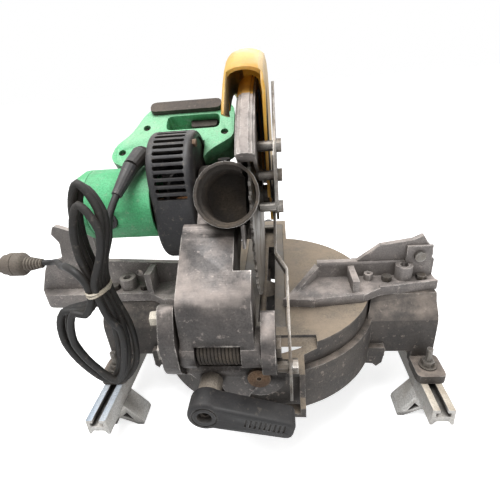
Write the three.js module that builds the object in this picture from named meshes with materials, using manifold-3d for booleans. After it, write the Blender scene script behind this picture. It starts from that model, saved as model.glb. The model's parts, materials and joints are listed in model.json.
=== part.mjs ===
// Compound mitre saw standing on two slotted mounting rails, stored with its head down.
// Millimetres, +Z up. -Y is the hinge side, +Y the operator's side, and the motor is on the -X side.
// Everything is laid out from the point where the mitre axis meets the ground; the last lines
// move the whole part so that its origin is the middle of its footprint.
import * as THREE from "three";
import { mergeVertices } from "three/addons/utils/BufferGeometryUtils.js";
import Module from "manifold-3d";

const wasm = await Module();
wasm.setup();

// ---------- driving dimensions ----------
const fit = 0.3; // gap between pieces that touch
const slack = 0.6; // gap between pieces that slide or turn

// Stand rails and the saddles under them
const rail = { x: 212, width: 28, height: 25, length: 300, leftEnd: -154, rightEnd: -137, slot: 9, lip: 5 };
const saddle = { height: 38, width: 30, reach: 22, inset: 58 };

// Base
const railTop = saddle.height + rail.height;
const tableTop = railTop + 102;
const wing = { outer: 224, inner: 128, half: 60, wall: 8, floor: 84, flat: 42 };
const ring = { outer: 153, inner: 141, floor: 80 };
const pad = { x: 212, y: 77, width: 36, depth: 40, thick: 12, bore: 5 };
const leg = { x: 142, y: 64 };
const rods = { y: [12, 38], radius: 5 };
const rodHeight = tableTop - 13.5;
const extension = { length: 103, thick: 22 };

// Turntable, heights from the table top
const table = { radius: 145, rim: 27, skin: 9, wall: 8, gap: 3 };
const seam = tableTop - table.rim;
const kerf = { left: -4, right: 16, half: 29.6, rear: -104, front: 205, thick: 5 };
const tray = { left: -50, right: 48, back: -168, wall: 6, floor: 6, drop: 75 };
const frontArm = { half: 36, end: 225, drop: 43, knobDrop: 32.5 };
const knob = { shaft: 5, radius: 17, length: 58 };
const detent = { half: 5, pivotY: 203, pivotZ: -52 };

// Fences, heights from the table top
const fenceEnd = 226;
const fence = { face: -6, thick: 8, inner: 75, outer: fenceEnd, foot: 10.7, low: 34, high: 49, tip: [27, -64] };
const subFence = { left: fenceEnd - 99, outer: fenceEnd - 5, pivotX: fenceEnd - 21, pivotZ: 42, hub: 19 };

// Bevel bracket and hinge, heights from the bevel axis
const bevelDrop = 10; // bevel axis below the table top
const bracket = { back: -(table.radius + 25), thick: 12, hub: 28, slot: 50.2, slotHalf: 6.8 };
const hinge = { y: -165, z: 35, pin: 8, lug: 20, clear: 22 };
const ears = { left: [-91, -75], right: [5, 19] };
const lever = { x: -50, z: -15, reach: 73, fall: 18, hub: 17, from: -192, to: -216 };
const linkPivot = { y: -173, z: 17 };

// Head: heights and depths from the saw spindle
const spindle = { y: 8, z: 137 };
const blade = { radius: 130, body: 123, thick: 2.4, bore: 8.3, teeth: 60 };
const hood = { outer: 140, inner: 134, left: -18, face: -10, right: 8, wall: 3, from: -10, to: 185 };
const rim = { from: -10, to: 149, swellsFrom: 104, swell: 17 };
const arm = { left: -72, right: -1, clear: 160 };
const guard = { eaves: 153, dome: 14, left: -22, right: 18.5, wall: 3, from: -5, to: 117 };
const guardPin = { radius: 4, reach: 24, angle: 103 };
const guardRatio = 3.5; // guard turn for each degree of head lift
const chopRange = 40;
const motor = { y: -33, z: 8, radius: 43, wall: 4, inner: -118.3, outer: -196, tail: -222 };
const shroud = { left: -118, right: -64, half: 48, rise: 30, y: -25, z: 11, wall: 5 };
const port = { x: -21, y: -133, z: 44, outer: 31, inner: 27, length: 46, tilt: 24 };
const handle = { y: -18, z: 48, tilt: 36.9, upper: 18, lower: 38, right: -27 };
const cable = 4;

// ---------- solids ----------
// A closed three.js geometry as a manifold solid.
function solid(geometry) {
  const bare = geometry.index ? geometry.toNonIndexed() : geometry.clone();
  bare.deleteAttribute("normal");
  bare.deleteAttribute("uv");
  const merged = mergeVertices(bare, 1e-4);
  return new wasm.Manifold(
    new wasm.Mesh({
      numProp: 3,
      vertProperties: merged.attributes.position.array,
      triVerts: new Uint32Array(merged.index.array),
    }),
  );
}

// A manifold solid as a three.js geometry.
function geometryOf(shape) {
  const data = shape.getMesh();
  const geometry = new THREE.BufferGeometry();
  geometry.setAttribute("position", new THREE.BufferAttribute(new Float32Array(data.vertProperties), 3));
  geometry.setIndex(new THREE.BufferAttribute(new Uint32Array(data.triVerts), 1));
  geometry.computeVertexNormals();
  return geometry;
}

const join = (...shapes) => shapes.reduce((a, b) => a.add(b));
const cut = (body, ...tools) => tools.reduce((a, b) => a.subtract(b), body);

function block([x0, x1], [y0, y1], [z0, z1]) {
  const geometry = new THREE.BoxGeometry(x1 - x0, y1 - y0, z1 - z0);
  return solid(geometry.translate((x0 + x1) / 2, (y0 + y1) / 2, (z0 + z1) / 2));
}

const onX = new THREE.Matrix4().set(0, 0, 1, 0, 1, 0, 0, 0, 0, 1, 0, 0, 0, 0, 0, 1);

// Turns a geometry made along +Z (or about +Z) so that it lies along the named axis.
// The section's first coordinate becomes Y for an X part, and X for a Y or Z part.
function laid(geometry, axis) {
  if (axis === "x") return geometry.applyMatrix4(onX);
  if (axis === "y") return geometry.rotateX(Math.PI / 2);
  return geometry;
}

// A section extruded along an axis between two stations.
function plate(axis, section, [from, to], curveSegments = 3) {
  const shape = section instanceof THREE.Shape ? section : outline(section);
  const depth = to - from;
  const geometry = new THREE.ExtrudeGeometry(shape, { depth, bevelEnabled: false, curveSegments });
  if (axis === "y") return solid(laid(geometry, axis).translate(0, to, 0));
  return solid(laid(geometry.translate(0, 0, from), axis));
}

// A polygon whose corners may be rounded: each corner is [u, v] or [u, v, radius].
function outline(corners, holes = []) {
  const shape = new THREE.Shape();
  corners.forEach(([u, v, radius = 0], i) => {
    const here = new THREE.Vector2(u, v);
    const before = new THREE.Vector2(...corners.at(i - 1).slice(0, 2));
    const after = new THREE.Vector2(...corners[(i + 1) % corners.length].slice(0, 2));
    const start = here.clone().add(before.sub(here).setLength(radius));
    const end = here.clone().add(after.sub(here).setLength(radius));
    if (i) shape.lineTo(start.x, start.y);
    else shape.moveTo(start.x, start.y);
    if (radius) shape.quadraticCurveTo(u, v, end.x, end.y);
  });
  shape.closePath();
  holes.forEach((hole) => shape.holes.push(outline(hole)));
  return shape;
}

const rounded = ([u0, u1], [v0, v1], radius) => [
  [u0, v0, radius],
  [u1, v0, radius],
  [u1, v1, radius],
  [u0, v1, radius],
];

// A round bar along an axis; the centre is (y, z), (x, z) or (x, y).
function bar(axis, radius, [from, to], [u, v] = [0, 0], sides = 16) {
  const geometry = new THREE.CylinderGeometry(radius, radius, to - from, sides).rotateX(Math.PI / 2);
  if (axis === "y") return solid(laid(geometry, axis).translate(u, (from + to) / 2, v));
  const along = laid(geometry.translate(0, 0, (from + to) / 2), axis);
  return solid(axis === "x" ? along.translate(0, u, v) : along.translate(u, v, 0));
}

const hexagon = (axis, radius, span, centre) => bar(axis, radius, span, centre, 6);

function washer(axis, outer, inner, span, centre, sides = 16) {
  const [from, to] = span;
  return bar(axis, outer, span, centre, sides).subtract(bar(axis, inner, [from - 1, to + 1], centre, sides));
}

// A profile of [radius, height] turned about an axis through the origin.
function turned(axis, profile, [u, v] = [0, 0], sides = 24) {
  const points = profile.map(([r, h]) => new THREE.Vector2(r, h));
  const geometry = new THREE.LatheGeometry(points, sides);
  if (axis === "y") return solid(geometry.translate(u, 0, v));
  const along = laid(geometry.rotateX(Math.PI / 2), axis);
  return solid(axis === "x" ? along.translate(0, u, v) : along.translate(u, v, 0));
}

// A sector of a ring in the plane across an axis, between two angles in degrees.
function sector(axis, inner, outer, angles, span, segments = 16) {
  const [a0, a1] = angles.map(THREE.MathUtils.degToRad);
  const shape = new THREE.Shape();
  shape.absarc(0, 0, outer, a0, a1, false);
  if (inner > 0) shape.absarc(0, 0, inner, a1, a0, true);
  else shape.lineTo(0, 0);
  shape.closePath();
  return plate(axis, shape, span, segments / 2);
}

// A round section swept along a smooth curve.
function cord(points, radius, steps, sides = 6) {
  const section = new THREE.Shape();
  section.absarc(0, 0, radius, 0, Math.PI * 2);
  const extrudePath = new THREE.CatmullRomCurve3(points.map((p) => new THREE.Vector3(...p)));
  const options = { steps, extrudePath, bevelEnabled: false, curveSegments: sides / 2 };
  return solid(new THREE.ExtrudeGeometry(section, options));
}

// A cone or bar from one point to another.
function taper(from, to, r0, r1, sides = 16) {
  const a = new THREE.Vector3(...from);
  const b = new THREE.Vector3(...to);
  const geometry = new THREE.CylinderGeometry(r1, r0, a.distanceTo(b), sides);
  const along = b.clone().sub(a).normalize();
  const turn = new THREE.Quaternion().setFromUnitVectors(new THREE.Vector3(0, 1, 0), along);
  return solid(geometry.applyQuaternion(turn).translate(...a.add(b).multiplyScalar(0.5).toArray()));
}

// ---------- materials ----------
function finish(color, roughness, metalness) {
  return new THREE.MeshStandardMaterial({ color, roughness, metalness });
}

const finishes = {
  castDark: finish(0x4a4745, 0.7, 0.4),
  castGrey: finish(0x7c7873, 0.6, 0.5),
  tableTan: finish(0x8f8374, 0.75, 0.3),
  aluminium: finish(0xc9c6c0, 0.4, 0.9),
  steel: finish(0x9a9892, 0.4, 0.9),
  rust: finish(0x7d4a26, 0.8, 0.5),
  green: finish(0x4fb474, 0.45, 0),
  black: finish(0x222225, 0.55, 0),
  amber: finish(0xc8953a, 0.3, 0),
  rubber: finish(0x3a3634, 0.8, 0),
  cream: finish(0xcfc3ae, 0.6, 0.2),
  tan: finish(0x8c7d6c, 0.7, 0),
  copper: finish(0x9c6a40, 0.5, 0.6),
};

// ---------- groups ----------
const saw = new THREE.Group();
const turntable = new THREE.Group();
const bevelBracket = new THREE.Group();
const head = new THREE.Group();
const handleFrame = new THREE.Group();
turntable.position.z = tableTop;
bevelBracket.position.z = -bevelDrop;
head.position.set(0, spindle.y, spindle.z);
handleFrame.position.set(0, handle.y, handle.z);
handleFrame.rotation.x = THREE.MathUtils.degToRad(handle.tilt);
saw.add(turntable);
turntable.add(bevelBracket);
bevelBracket.add(head);
head.add(handleFrame);

function add(group, name, shape, material) {
  const mesh = new THREE.Mesh(geometryOf(shape), material);
  mesh.name = name;
  group.add(mesh);
}

// A group of its own for a piece that turns or slides, at the piece's pivot.
function pivotGroup(parent, x, y, z) {
  const group = new THREE.Group();
  group.position.set(x, y, z);
  parent.add(group);
  return group;
}

const sides = [-1, 1];
const corners = sides.flatMap((sx) => sides.map((sy) => [sx, sy]));
const span = (sign, a, b) => (sign > 0 ? [a, b] : [-b, -a]);

// ---------- stand rails ----------
// A slot in the top, a concave underside and two feet.
function railSection(x) {
  const w = rail.width / 2;
  const s = rail.slot / 2;
  const z0 = saddle.height;
  const z1 = railTop - fit;
  return [
    [x - w, z0],
    [x - w + 3, z0],
    [x - w + 7, z0 + 6, 2],
    [x + w - 7, z0 + 6, 2],
    [x + w - 3, z0],
    [x + w, z0],
    [x + w - 1, z1],
    [x + s, z1],
    [x + s, z1 - rail.lip],
    [x + s + 4, z1 - rail.lip],
    [x + s + 4, z1 - rail.lip - 6],
    [x - s - 4, z1 - rail.lip - 6],
    [x - s - 4, z1 - rail.lip],
    [x - s, z1 - rail.lip],
    [x - s, z1],
    [x - w + 1, z1],
  ];
}

// An arch under a rail, with a splayed inner foot and a triangular hollow.
function saddleShape(x, y) {
  const w = rail.width / 2;
  const top = saddle.height - fit;
  const at = (u) => x - Math.sign(x) * u;
  const body = [
    [at(-w), 0],
    [at(9 - w), 0],
    [at(13 - w), 12, 4],
    [at(w - 9), 12, 4],
    [at(w + saddle.reach - 9), 0],
    [at(w + saddle.reach), 0, 3],
    [at(w + saddle.reach), 8, 4],
    [at(w), top],
    [at(-w), top],
  ];
  const hollow = [
    [at(w - 6), 17],
    [at(w + 9), 9],
    [at(w + 1), 24],
  ];
  const half = saddle.width / 2;
  const hole = plate("y", hollow, [y - half - 1, y + half + 1]);
  return plate("y", body, [y - half, y + half]).subtract(hole);
}

function addRails() {
  for (const [name, x, end] of [
    ["rail_left", -rail.x, rail.leftEnd],
    ["rail_right", rail.x, rail.rightEnd],
  ]) {
    const far = end + rail.length;
    add(saw, name, plate("y", railSection(x), [end, far]), finishes.aluminium);
    const ys = [end + saddle.inset, far - saddle.inset];
    const tie = block([x - 5, x + 5], ys, [saddle.height - 6, saddle.height - fit]);
    const pair = join(...ys.map((y) => saddleShape(x, y)), tie);
    add(saw, name.replace("rail", "saddles"), pair, finishes.aluminium);
  }
}

// Studs with T-heads in the rail slots, clamping the base's pads.
function addRailStuds() {
  const top = railTop + pad.thick;
  const slotFloor = railTop - fit - rail.lip - 6;
  corners.forEach(([sx, sy], i) => {
    const at = [sx * pad.x, sy * pad.y];
    const stud = join(
      bar("z", rail.slot / 2 - slack, [slotFloor + slack, top + 28], at, 8),
      bar("z", rail.slot / 2 + 2, [slotFloor + slack, railTop - fit - rail.lip - fit], at, 8),
      bar("z", 11, [top + fit, top + 2.3], at),
      hexagon("z", 8, [top + 2.3, top + 9], at),
    );
    add(saw, `rail_stud_${i + 1}`, stud, finishes.steel);
  });
}

// ---------- base ----------
// A hollow wing beside the ring, open below; its top falls away at the rear.
function wingShape(s) {
  const inside = span(s, wing.inner, wing.outer - wing.wall);
  const section = [
    [-wing.half, wing.floor],
    [wing.half, wing.floor],
    [wing.half, tableTop, 3],
    [-wing.flat, tableTop],
    [-wing.flat - 4, tableTop - 11],
    [-wing.half, tableTop - 27, 10],
  ];
  const reach = wing.half - wing.wall;
  const hollow = join(
    block(inside, [-reach, reach], [0, tableTop - 36]),
    block(inside, [4 - wing.flat, reach], [tableTop - 37, tableTop - wing.wall]),
  );
  const innerWall = bar("z", ring.outer + 3, [0, tableTop], [0, 0], 40);
  return plate("x", section, span(s, wing.inner, wing.outer)).subtract(hollow.subtract(innerWall));
}

// A pad that stands on a rail, with the column that joins it to the wing.
function padShape([sx, sy]) {
  const x = span(sx, pad.x - pad.width / 2, pad.x + pad.width / 2);
  const y = span(sy, pad.y - pad.depth / 2, pad.y + pad.depth / 2);
  const column = block(span(sx, pad.x - 16, wing.outer), span(sy, 50, wing.half), [railTop, wing.floor + 8]);
  return join(plate("z", rounded(x, y, 8), [railTop, railTop + pad.thick]), column);
}

// A leg with a notched foot, for standing on a bench.
function legShape([sx, sy]) {
  const x = leg.x * sx;
  const foot = [
    [x - 17, railTop + 8],
    [x - 12, railTop + 3],
    [x - 8, railTop + 9],
    [x + 2, railTop + 8],
    [x + 7, railTop + 3],
    [x + 14, railTop + 10],
    [x + 17, wing.floor + 12],
    [x - 17, wing.floor + 12],
  ];
  const across = [span(sx, leg.x - 16, leg.x + 16), span(sy, leg.y - 5, leg.y + 5)];
  return join(plate("y", foot, across[1]), block(across[0], across[1], [wing.floor, wing.floor + 14]));
}

const boltInset = [16, 60]; // from the wing's end to its two fence bolts
const fenceBoltsAt = [
  [boltInset[0] - wing.outer, -28],
  [boltInset[1] - wing.outer, -30],
  [wing.outer - boltInset[1], -26],
  [wing.outer - boltInset[0], -25],
];

function addBase() {
  const ringTop = seam - slack;
  const webTop = ring.floor + 24;
  const shell = cut(
    join(bar("z", ring.outer, [ring.floor, ringTop], [0, 0], 40), wingShape(-1), wingShape(1)),
    bar("z", ring.inner, [0, tableTop + 1], [0, 0], 40),
    bar("z", table.radius + table.gap, [ringTop, tableTop + 1], [0, 0], 40),
  );
  const legs = join(...corners.map(legShape)).subtract(bar("z", ring.inner + 4, [0, tableTop], [0, 0], 40));
  const webs = join(
    block([-ring.inner - 4, ring.inner + 4], [-5, 5], [ring.floor, webTop]),
    block([-5, 5], [-ring.inner - 4, ring.inner + 4], [ring.floor, webTop]),
    bar("z", 24, [ring.floor, seam - 20]),
  );
  const rodSpan = [-wing.outer - 1, 30 - wing.outer];
  const body = cut(
    join(shell, legs, webs, ...corners.map(padShape)),
    bar("z", 6.4, [ring.floor - 1, seam], [0, 0], 10),
    ...corners.map(([sx, sy]) => bar("z", pad.bore, [0, tableTop - 60], [sx * pad.x, sy * pad.y], 10)),
    ...fenceBoltsAt.map((at) => bar("z", 4.2, [tableTop - 20, tableTop + 1], at, 8)),
    ...rods.y.map((y) => bar("x", rods.radius + slack, rodSpan, [y, rodHeight], 10)),
  );
  add(saw, "base_casting", body, finishes.castDark);
  const shelfTop = ring.floor + 14;
  const scale = join(
    sector("z", ring.outer + fit, ring.outer + 24, [40, 140], [ring.floor, shelfTop]),
    sector("z", ring.outer + 2, ring.outer + 22, [42, 138], [shelfTop - 1, shelfTop + 1.5]),
  );
  add(saw, "mitre_scale", scale, finishes.castDark);
  const pivot = join(
    bar("z", 6, [ring.floor - fit - 1, seam - 4], [0, 0], 10),
    hexagon("z", 11, [ring.floor - 8, ring.floor - fit]),
  );
  add(saw, "table_pivot_bolt", pivot, finishes.steel);
}

// ---------- extension wing ----------
function addExtension() {
  const inner = -wing.outer - 8;
  const outer = inner - extension.length;
  const top = tableTop;
  const deck = plate(
    "z",
    [
      [inner, -25, 4],
      [outer + 14, -25, 10],
      [outer, -6, 6],
      [outer, 65, 14],
      [inner, 65, 4],
    ],
    [top - extension.thick, top],
  );
  const skin = block([outer + 8, inner - 6], [-18, 58], [top - extension.thick - 1, top - 6]);
  const webs = join(
    ...rods.y.map((y) => block([outer + 6, inner], [y - 9, y + 9], [top - extension.thick, top - 2])),
  );
  const hold = plate("z", rounded([outer + 34, inner - 34], [46, 58], 5), [top - 30, top + 1]);
  const upright = plate(
    "y",
    [
      [inner, top - 2],
      [inner, top + 85],
      [inner - 38, top + 97],
      [inner - 53, top + 103, 5],
      [inner - 59, top + 90],
      [inner - 51, top + 77, 4],
      [inner - 55, top + 53],
      [inner - 82, top + 43],
      [inner - 88, top + 33],
      [outer, top - 2],
    ],
    [-8, 0],
  );
  const body = cut(
    join(deck.subtract(skin), webs, upright),
    hold,
    ...rods.y.map((y) => bar("x", rods.radius + fit, [outer + 18, inner + 1], [y, rodHeight], 10)),
  );
  add(saw, "extension_wing", body, finishes.castDark);
  const bend = 27 - wing.outer;
  const bars = rods.y.map((y) => bar("x", rods.radius, [outer + 20, bend], [y, rodHeight], 10));
  const cross = block([bend - 8, bend], rods.y, [rodHeight - 4, rodHeight + 4]);
  add(saw, "extension_rods", join(...bars, cross), finishes.steel);
}

// ---------- fences ----------
// An upright web from one plan point to another; its profile is [distance, height].
function web([x0, y0], [x1, y1], thick, profile) {
  const geometry = new THREE.ExtrudeGeometry(outline(profile), { depth: thick, bevelEnabled: false });
  geometry.rotateX(Math.PI / 2).translate(0, thick / 2, 0);
  return solid(geometry.rotateZ(Math.atan2(y1 - y0, x1 - x0)).translate(x0, y0, 0));
}

// A fence casting: face plate, foot, rear rim, ribs, bosses, and a sloped web to its tip.
function fenceShape(s, top, rear, extras) {
  const z = tableTop + fit;
  const face = fence.face;
  const back = face - fence.thick;
  const x = (u) => s * u;
  const inner = fence.inner;
  const outer = fence.outer;
  const tip = [x(fence.tip[0]), fence.tip[1]];
  const foot = [
    [x(inner), face],
    [x(outer), face],
    [x(outer), rear[0]],
    [x(150), rear[1], 4],
    [x(128), rear[2], 4],
    [x(66), rear[2] - 8],
    tip,
  ];
  const slope = Math.hypot(inner - fence.tip[0], face - 4 - fence.tip[1]);
  const shape = join(
    plate("y", top.map(([u, v]) => [x(u), v]), [back, face]),
    plate("z", foot, [z, z + fence.foot]),
    web([x(inner), face - 4], tip, 8, [
      [0, z],
      [slope - 8, z],
      [slope - 4, z + 6],
      [slope * 0.6, z + 12],
      [0, z + 28],
    ]),
    web([x(outer), rear[0] + 2.5], [x(150), rear[1] + 2.5], 5, [
      [0, z],
      [outer - 150, z],
      [outer - 150, z + 13],
      [0, z + 13],
    ]),
    web([x(128), rear[2] + 2.5], [x(66), rear[2] - 5.5], 5, [
      [0, z],
      [62, z],
      [62, z + 12],
      [0, z + 13],
    ]),
    ...extras,
  );
  const bores = fenceBoltsAt.map((at) => bar("z", 4.2, [z - 1, z + fence.foot + 1], at, 8));
  return cut(shape, ...bores);
}

function addFences() {
  const z = tableTop + fit;
  const low = tableTop + fence.low;
  const high = tableTop + fence.high;
  const pivot = [subFence.pivotX, tableTop + subFence.pivotZ];
  const back = fence.face - fence.thick;
  const right = fenceShape(
    1,
    [
      [fence.inner, z],
      [fence.outer, z],
      [fence.outer, low],
      [fence.inner, low],
    ],
    [-34, -46, -60],
    [
      block([115, 123], [-55, back + 1], [z, low - 6]),
      bar("z", 11, [z, z + 30], [187, -20]),
      bar("z", 6, [z, z + 20], [141, -22], 8),
      block([pivot[0] - 16, subFence.outer], [back - 4, back - fit], [low - 20, pivot[1] + 14]),
      block([pivot[0] - 16, subFence.outer], [back - 4, back + 1], [z, low - 2]),
    ],
  );
  const cleared = cut(
    right,
    bar("y", subFence.hub + slack, [back - fit, fence.face + 1], pivot, 24),
    bar("z", 6, [z + 8, z + 31], [187, -20], 8),
    bar("z", 2.5, [z + 8, z + 21], [141, -22], 8),
    bar("y", 5.3, [back - 20, fence.face + 1], pivot, 10),
  );
  add(saw, "right_fence", cleared, finishes.castDark);
  const left = fenceShape(
    -1,
    [
      [fence.inner, z],
      [fence.outer, z],
      [fence.outer, high],
      [fence.inner, low + 5],
    ],
    [-44, -44, -60],
    [
      block([-156, -148], [-43, back + 1], [z, high - 8]),
      bar("z", 11, [z, z + 28], [-188, -26]),
    ],
  );
  const leftCleared = cut(
    left,
    bar("z", 6, [z + 8, z + 29], [-188, -26], 8),
    bar("y", 5, [back - 1, fence.face + 1], [-175, tableTop + 28], 8),
  );
  add(saw, "left_fence", leftCleared, finishes.castDark);
  const seat = z + fence.foot + fit;
  const skin = tableTop - wing.wall - fit;
  for (const [name, bolts] of [
    ["fence_bolts_left", fenceBoltsAt.slice(0, 2)],
    ["fence_bolts_right", fenceBoltsAt.slice(2)],
  ]) {
    const shafts = bolts.flatMap((at) => [
      bar("z", 3.6, [skin - 9, seat + 1], at, 8),
      hexagon("z", 6.6, [seat, seat + 6.5], at),
    ]);
    const apart = Math.hypot(bolts[1][0] - bolts[0][0], bolts[1][1] - bolts[0][1]);
    const nutStrap = web(...bolts, 12, [
      [-5, skin - 5],
      [apart + 5, skin - 5],
      [apart + 5, skin],
      [-5, skin],
    ]);
    add(saw, name, join(...shafts, nutStrap), finishes.steel);
  }
  const pin = join(
    bar("y", 4.6, [back - 6, fence.face - 1], pivot, 10),
    bar("y", 7, [back - 9, back - 4 - fit], pivot, 10),
  );
  add(saw, "sub_fence_screw", pin, finishes.steel);
}

function addSubFence() {
  const z = tableTop;
  const back = fence.face - fence.thick;
  const pivot = [subFence.pivotX, z + subFence.pivotZ];
  const blank = join(
    plate(
      "y",
      [
        [subFence.left, z + fence.low + slack],
        [subFence.pivotX - 49, z + 57],
        [subFence.pivotX - 8, z + 63],
        [subFence.pivotX + 4, z + 69],
        [subFence.outer, z + 49],
        [subFence.outer, z + fence.low + slack],
      ],
      [back, fence.face],
    ),
    bar("y", subFence.hub, [back, fence.face], pivot, 24),
  );
  const shape = blank.subtract(bar("y", 5.2, [back - 1, fence.face + 1], pivot, 10));
  const group = pivotGroup(saw, pivot[0], 0, pivot[1]);
  add(group, "sub_fence", shape.translate([-pivot[0], 0, -pivot[1]]), finishes.castDark);
}

// ---------- turntable ----------
const plateFront = bracket.back + bracket.thick + slack; // where the turntable faces the bracket

function addTurntable() {
  const floor = -table.rim;
  const under = -table.skin;
  const drop = [frontArm.end - frontArm.drop, frontArm.end];
  const ribs = [30, 90, 150].map((turn) =>
    block([4 - table.radius, table.radius - 4], [-4, 4], [floor, under + 1]).rotate([0, 0, turn]),
  );
  const disc = join(
    bar("z", table.radius, [under, 0], [0, 0], 40),
    washer("z", table.radius, table.radius - table.wall, [floor, under + 1], [0, 0], 40),
    ...ribs,
    bar("z", 22, [floor - 18, under + 1]),
    block([-frontArm.half, frontArm.half], [table.radius - 8, frontArm.end], [floor + 1, 0]),
  );
  const throat = join(
    block([-24, 24], [kerf.rear + 4, kerf.front - 4], [-14, 1]),
    block([-kerf.half - 0.4, kerf.half + 0.4], [kerf.rear, kerf.front], [-kerf.thick - fit, 1]),
  );
  const rear = join(
    block([tray.left, tray.right], [-156, 8 - table.radius], [floor + 1, 0]),
    bar("y", 13, [plateFront, -154], [0, -bevelDrop], 24),
    bar("y", 10.2, [plateFront, -132], [lever.x, lever.z + 0.2]),
    ...traySides(),
    trayFloor(),
  );
  const slot = block([-detent.half - slack, detent.half + slack], [drop[0] - 1, drop[1] + 1], [-60, -40]);
  // Room for the hinge pin and the guard link when the head leans right.
  const leanRoom = plate(
    "x",
    [
      [-159, -22],
      [-159, 1],
      [-119, 1],
      [-119, -4],
      [-142, -16],
    ],
    [13.2, 63],
  );
  const body = cut(
    join(disc.subtract(throat), rear, block([-30, 30], drop, [-58, floor + 2])),
    slot,
    leanRoom,
    bar("y", knob.shaft + fit, [drop[0] - 1, drop[1] + 1], [0, -frontArm.knobDrop], 10),
    bar("z", 6.6, [floor - 19, seam - 3 - tableTop], [0, 0], 10),
    bar("y", 6.3, [-200, -128], [lever.x, lever.z], 10),
    bar("y", 5.3, [-200, -138], [0, -bevelDrop], 10),
  );
  const pin = bar("x", 3, [-14, 14], [detent.pivotY, detent.pivotZ], 8);
  add(turntable, "turntable", join(body, pin), finishes.tableTan);
  const insert = block([-kerf.half, kerf.half], [kerf.rear + fit, kerf.front - fit], [-kerf.thick, -fit]);
  const gap = block([kerf.left, kerf.right], [kerf.rear + 10, kerf.front - 10], [-kerf.thick - 1, 1]);
  add(turntable, "kerf_insert", insert.subtract(gap), finishes.black);
}

// The two cheeks of the pocket behind the table, each with a lower lobe.
function traySides() {
  const cheek = [
    [-150, -1],
    [-150, 15 - tray.drop],
    [-155.4, -tray.drop],
    [tray.back, -tray.drop],
    [tray.back, 12 - tray.drop, 3],
    [plateFront, 20 - tray.drop, 3],
    [plateFront, -1],
  ];
  return [
    plate("x", cheek, [tray.left, tray.left + tray.wall]),
    plate("x", cheek, [tray.right - tray.wall, tray.right]),
  ];
}

// The pocket's floor.
function trayFloor() {
  const lip = [
    [tray.left, -155.4],
    [tray.left, tray.back, 6],
    [tray.right, tray.back, 6],
    [tray.right, -155.4],
  ];
  return plate("z", lip, [-tray.drop, tray.floor - tray.drop]);
}

// The knob that locks the mitre, and the detent lever under it.
function addFrontControls() {
  const z = -frontArm.knobDrop;
  const start = frontArm.end + slack;
  const group = pivotGroup(turntable, 0, start, z);
  const grip = turned(
    "y",
    [
      [0, 0],
      [12, 0],
      [14, 10],
      [knob.radius, 22],
      [knob.radius, knob.length - 8],
      [knob.radius - 6, knob.length],
      [0, knob.length],
    ],
    [0, 0],
    16,
  );
  const flutes = Array.from({ length: 6 }, (_, i) =>
    bar("y", 4, [20, knob.length + 1], [knob.radius + 1.5, 0], 8).rotate([0, i * 60, 0]),
  );
  const shaft = bar("y", knob.shaft, [ring.outer + 2 - start, 1], [0, 0], 10);
  add(group, "mitre_lock_knob", join(cut(grip, ...flutes), shaft), finishes.black);

  const pivot = pivotGroup(turntable, 0, detent.pivotY, detent.pivotZ);
  const blank = [
    [-46, 8],
    [-46, 11],
    [-38, 10],
    [-14, 8],
    [8, 6],
    [38, -4],
    [42, -10],
    [36, -14],
    [-20, -5],
    [-38, -1],
  ];
  const body = plate("x", blank, [-detent.half, detent.half]);
  add(pivot, "detent_lever", body.subtract(bar("x", 3.4, [-9, 9], [0, 0], 8)), finishes.steel);
}

// The stud that clamps the bevel bracket, and its ribbed lever.
function addBevelClamp() {
  const at = [lever.x, lever.z];
  const face = bracket.back - slack;
  const stud = join(
    bar("y", 5.8, [-204, -130], at, 10),
    bar("y", 12, [lever.from + slack, face], at, 16),
  );
  add(turntable, "clamp_stud", stud, finishes.steel);

  const group = pivotGroup(turntable, lever.x, 0, lever.z);
  const reach = lever.reach;
  const fall = lever.fall;
  const length = Math.hypot(reach, fall);
  const long = plate(
    "y",
    [
      [-4, -15],
      [length - 6, -11],
      [length + 11, -11, 6],
      [length + 11, 11, 6],
      [length - 6, 11],
      [-4, 15],
    ],
    [lever.to, lever.from - 3],
  );
  const grooves = Array.from({ length: 5 }, (_, i) =>
    block([24 + i * 10, 28 + i * 10], [lever.to - 1, lever.from - 2], [8.5, 12]),
  );
  const tilt = THREE.MathUtils.radToDeg(Math.atan2(fall, reach));
  const arm = cut(long, ...grooves).rotate([0, tilt, 0]);
  const body = cut(
    join(bar("y", lever.hub, [lever.to, lever.from], [0, 0], 24), arm),
    bar("y", 6.2, [-205, -190], [0, 0], 10),
    bar("y", 7.6, [lever.to - 1, lever.to + 9], [0, 0], 12),
  );
  add(group, "bevel_clamp_lever", body, finishes.black);
}

// ---------- bevel bracket and hinge ----------
const hingeAt = [hinge.y, hinge.z];

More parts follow.
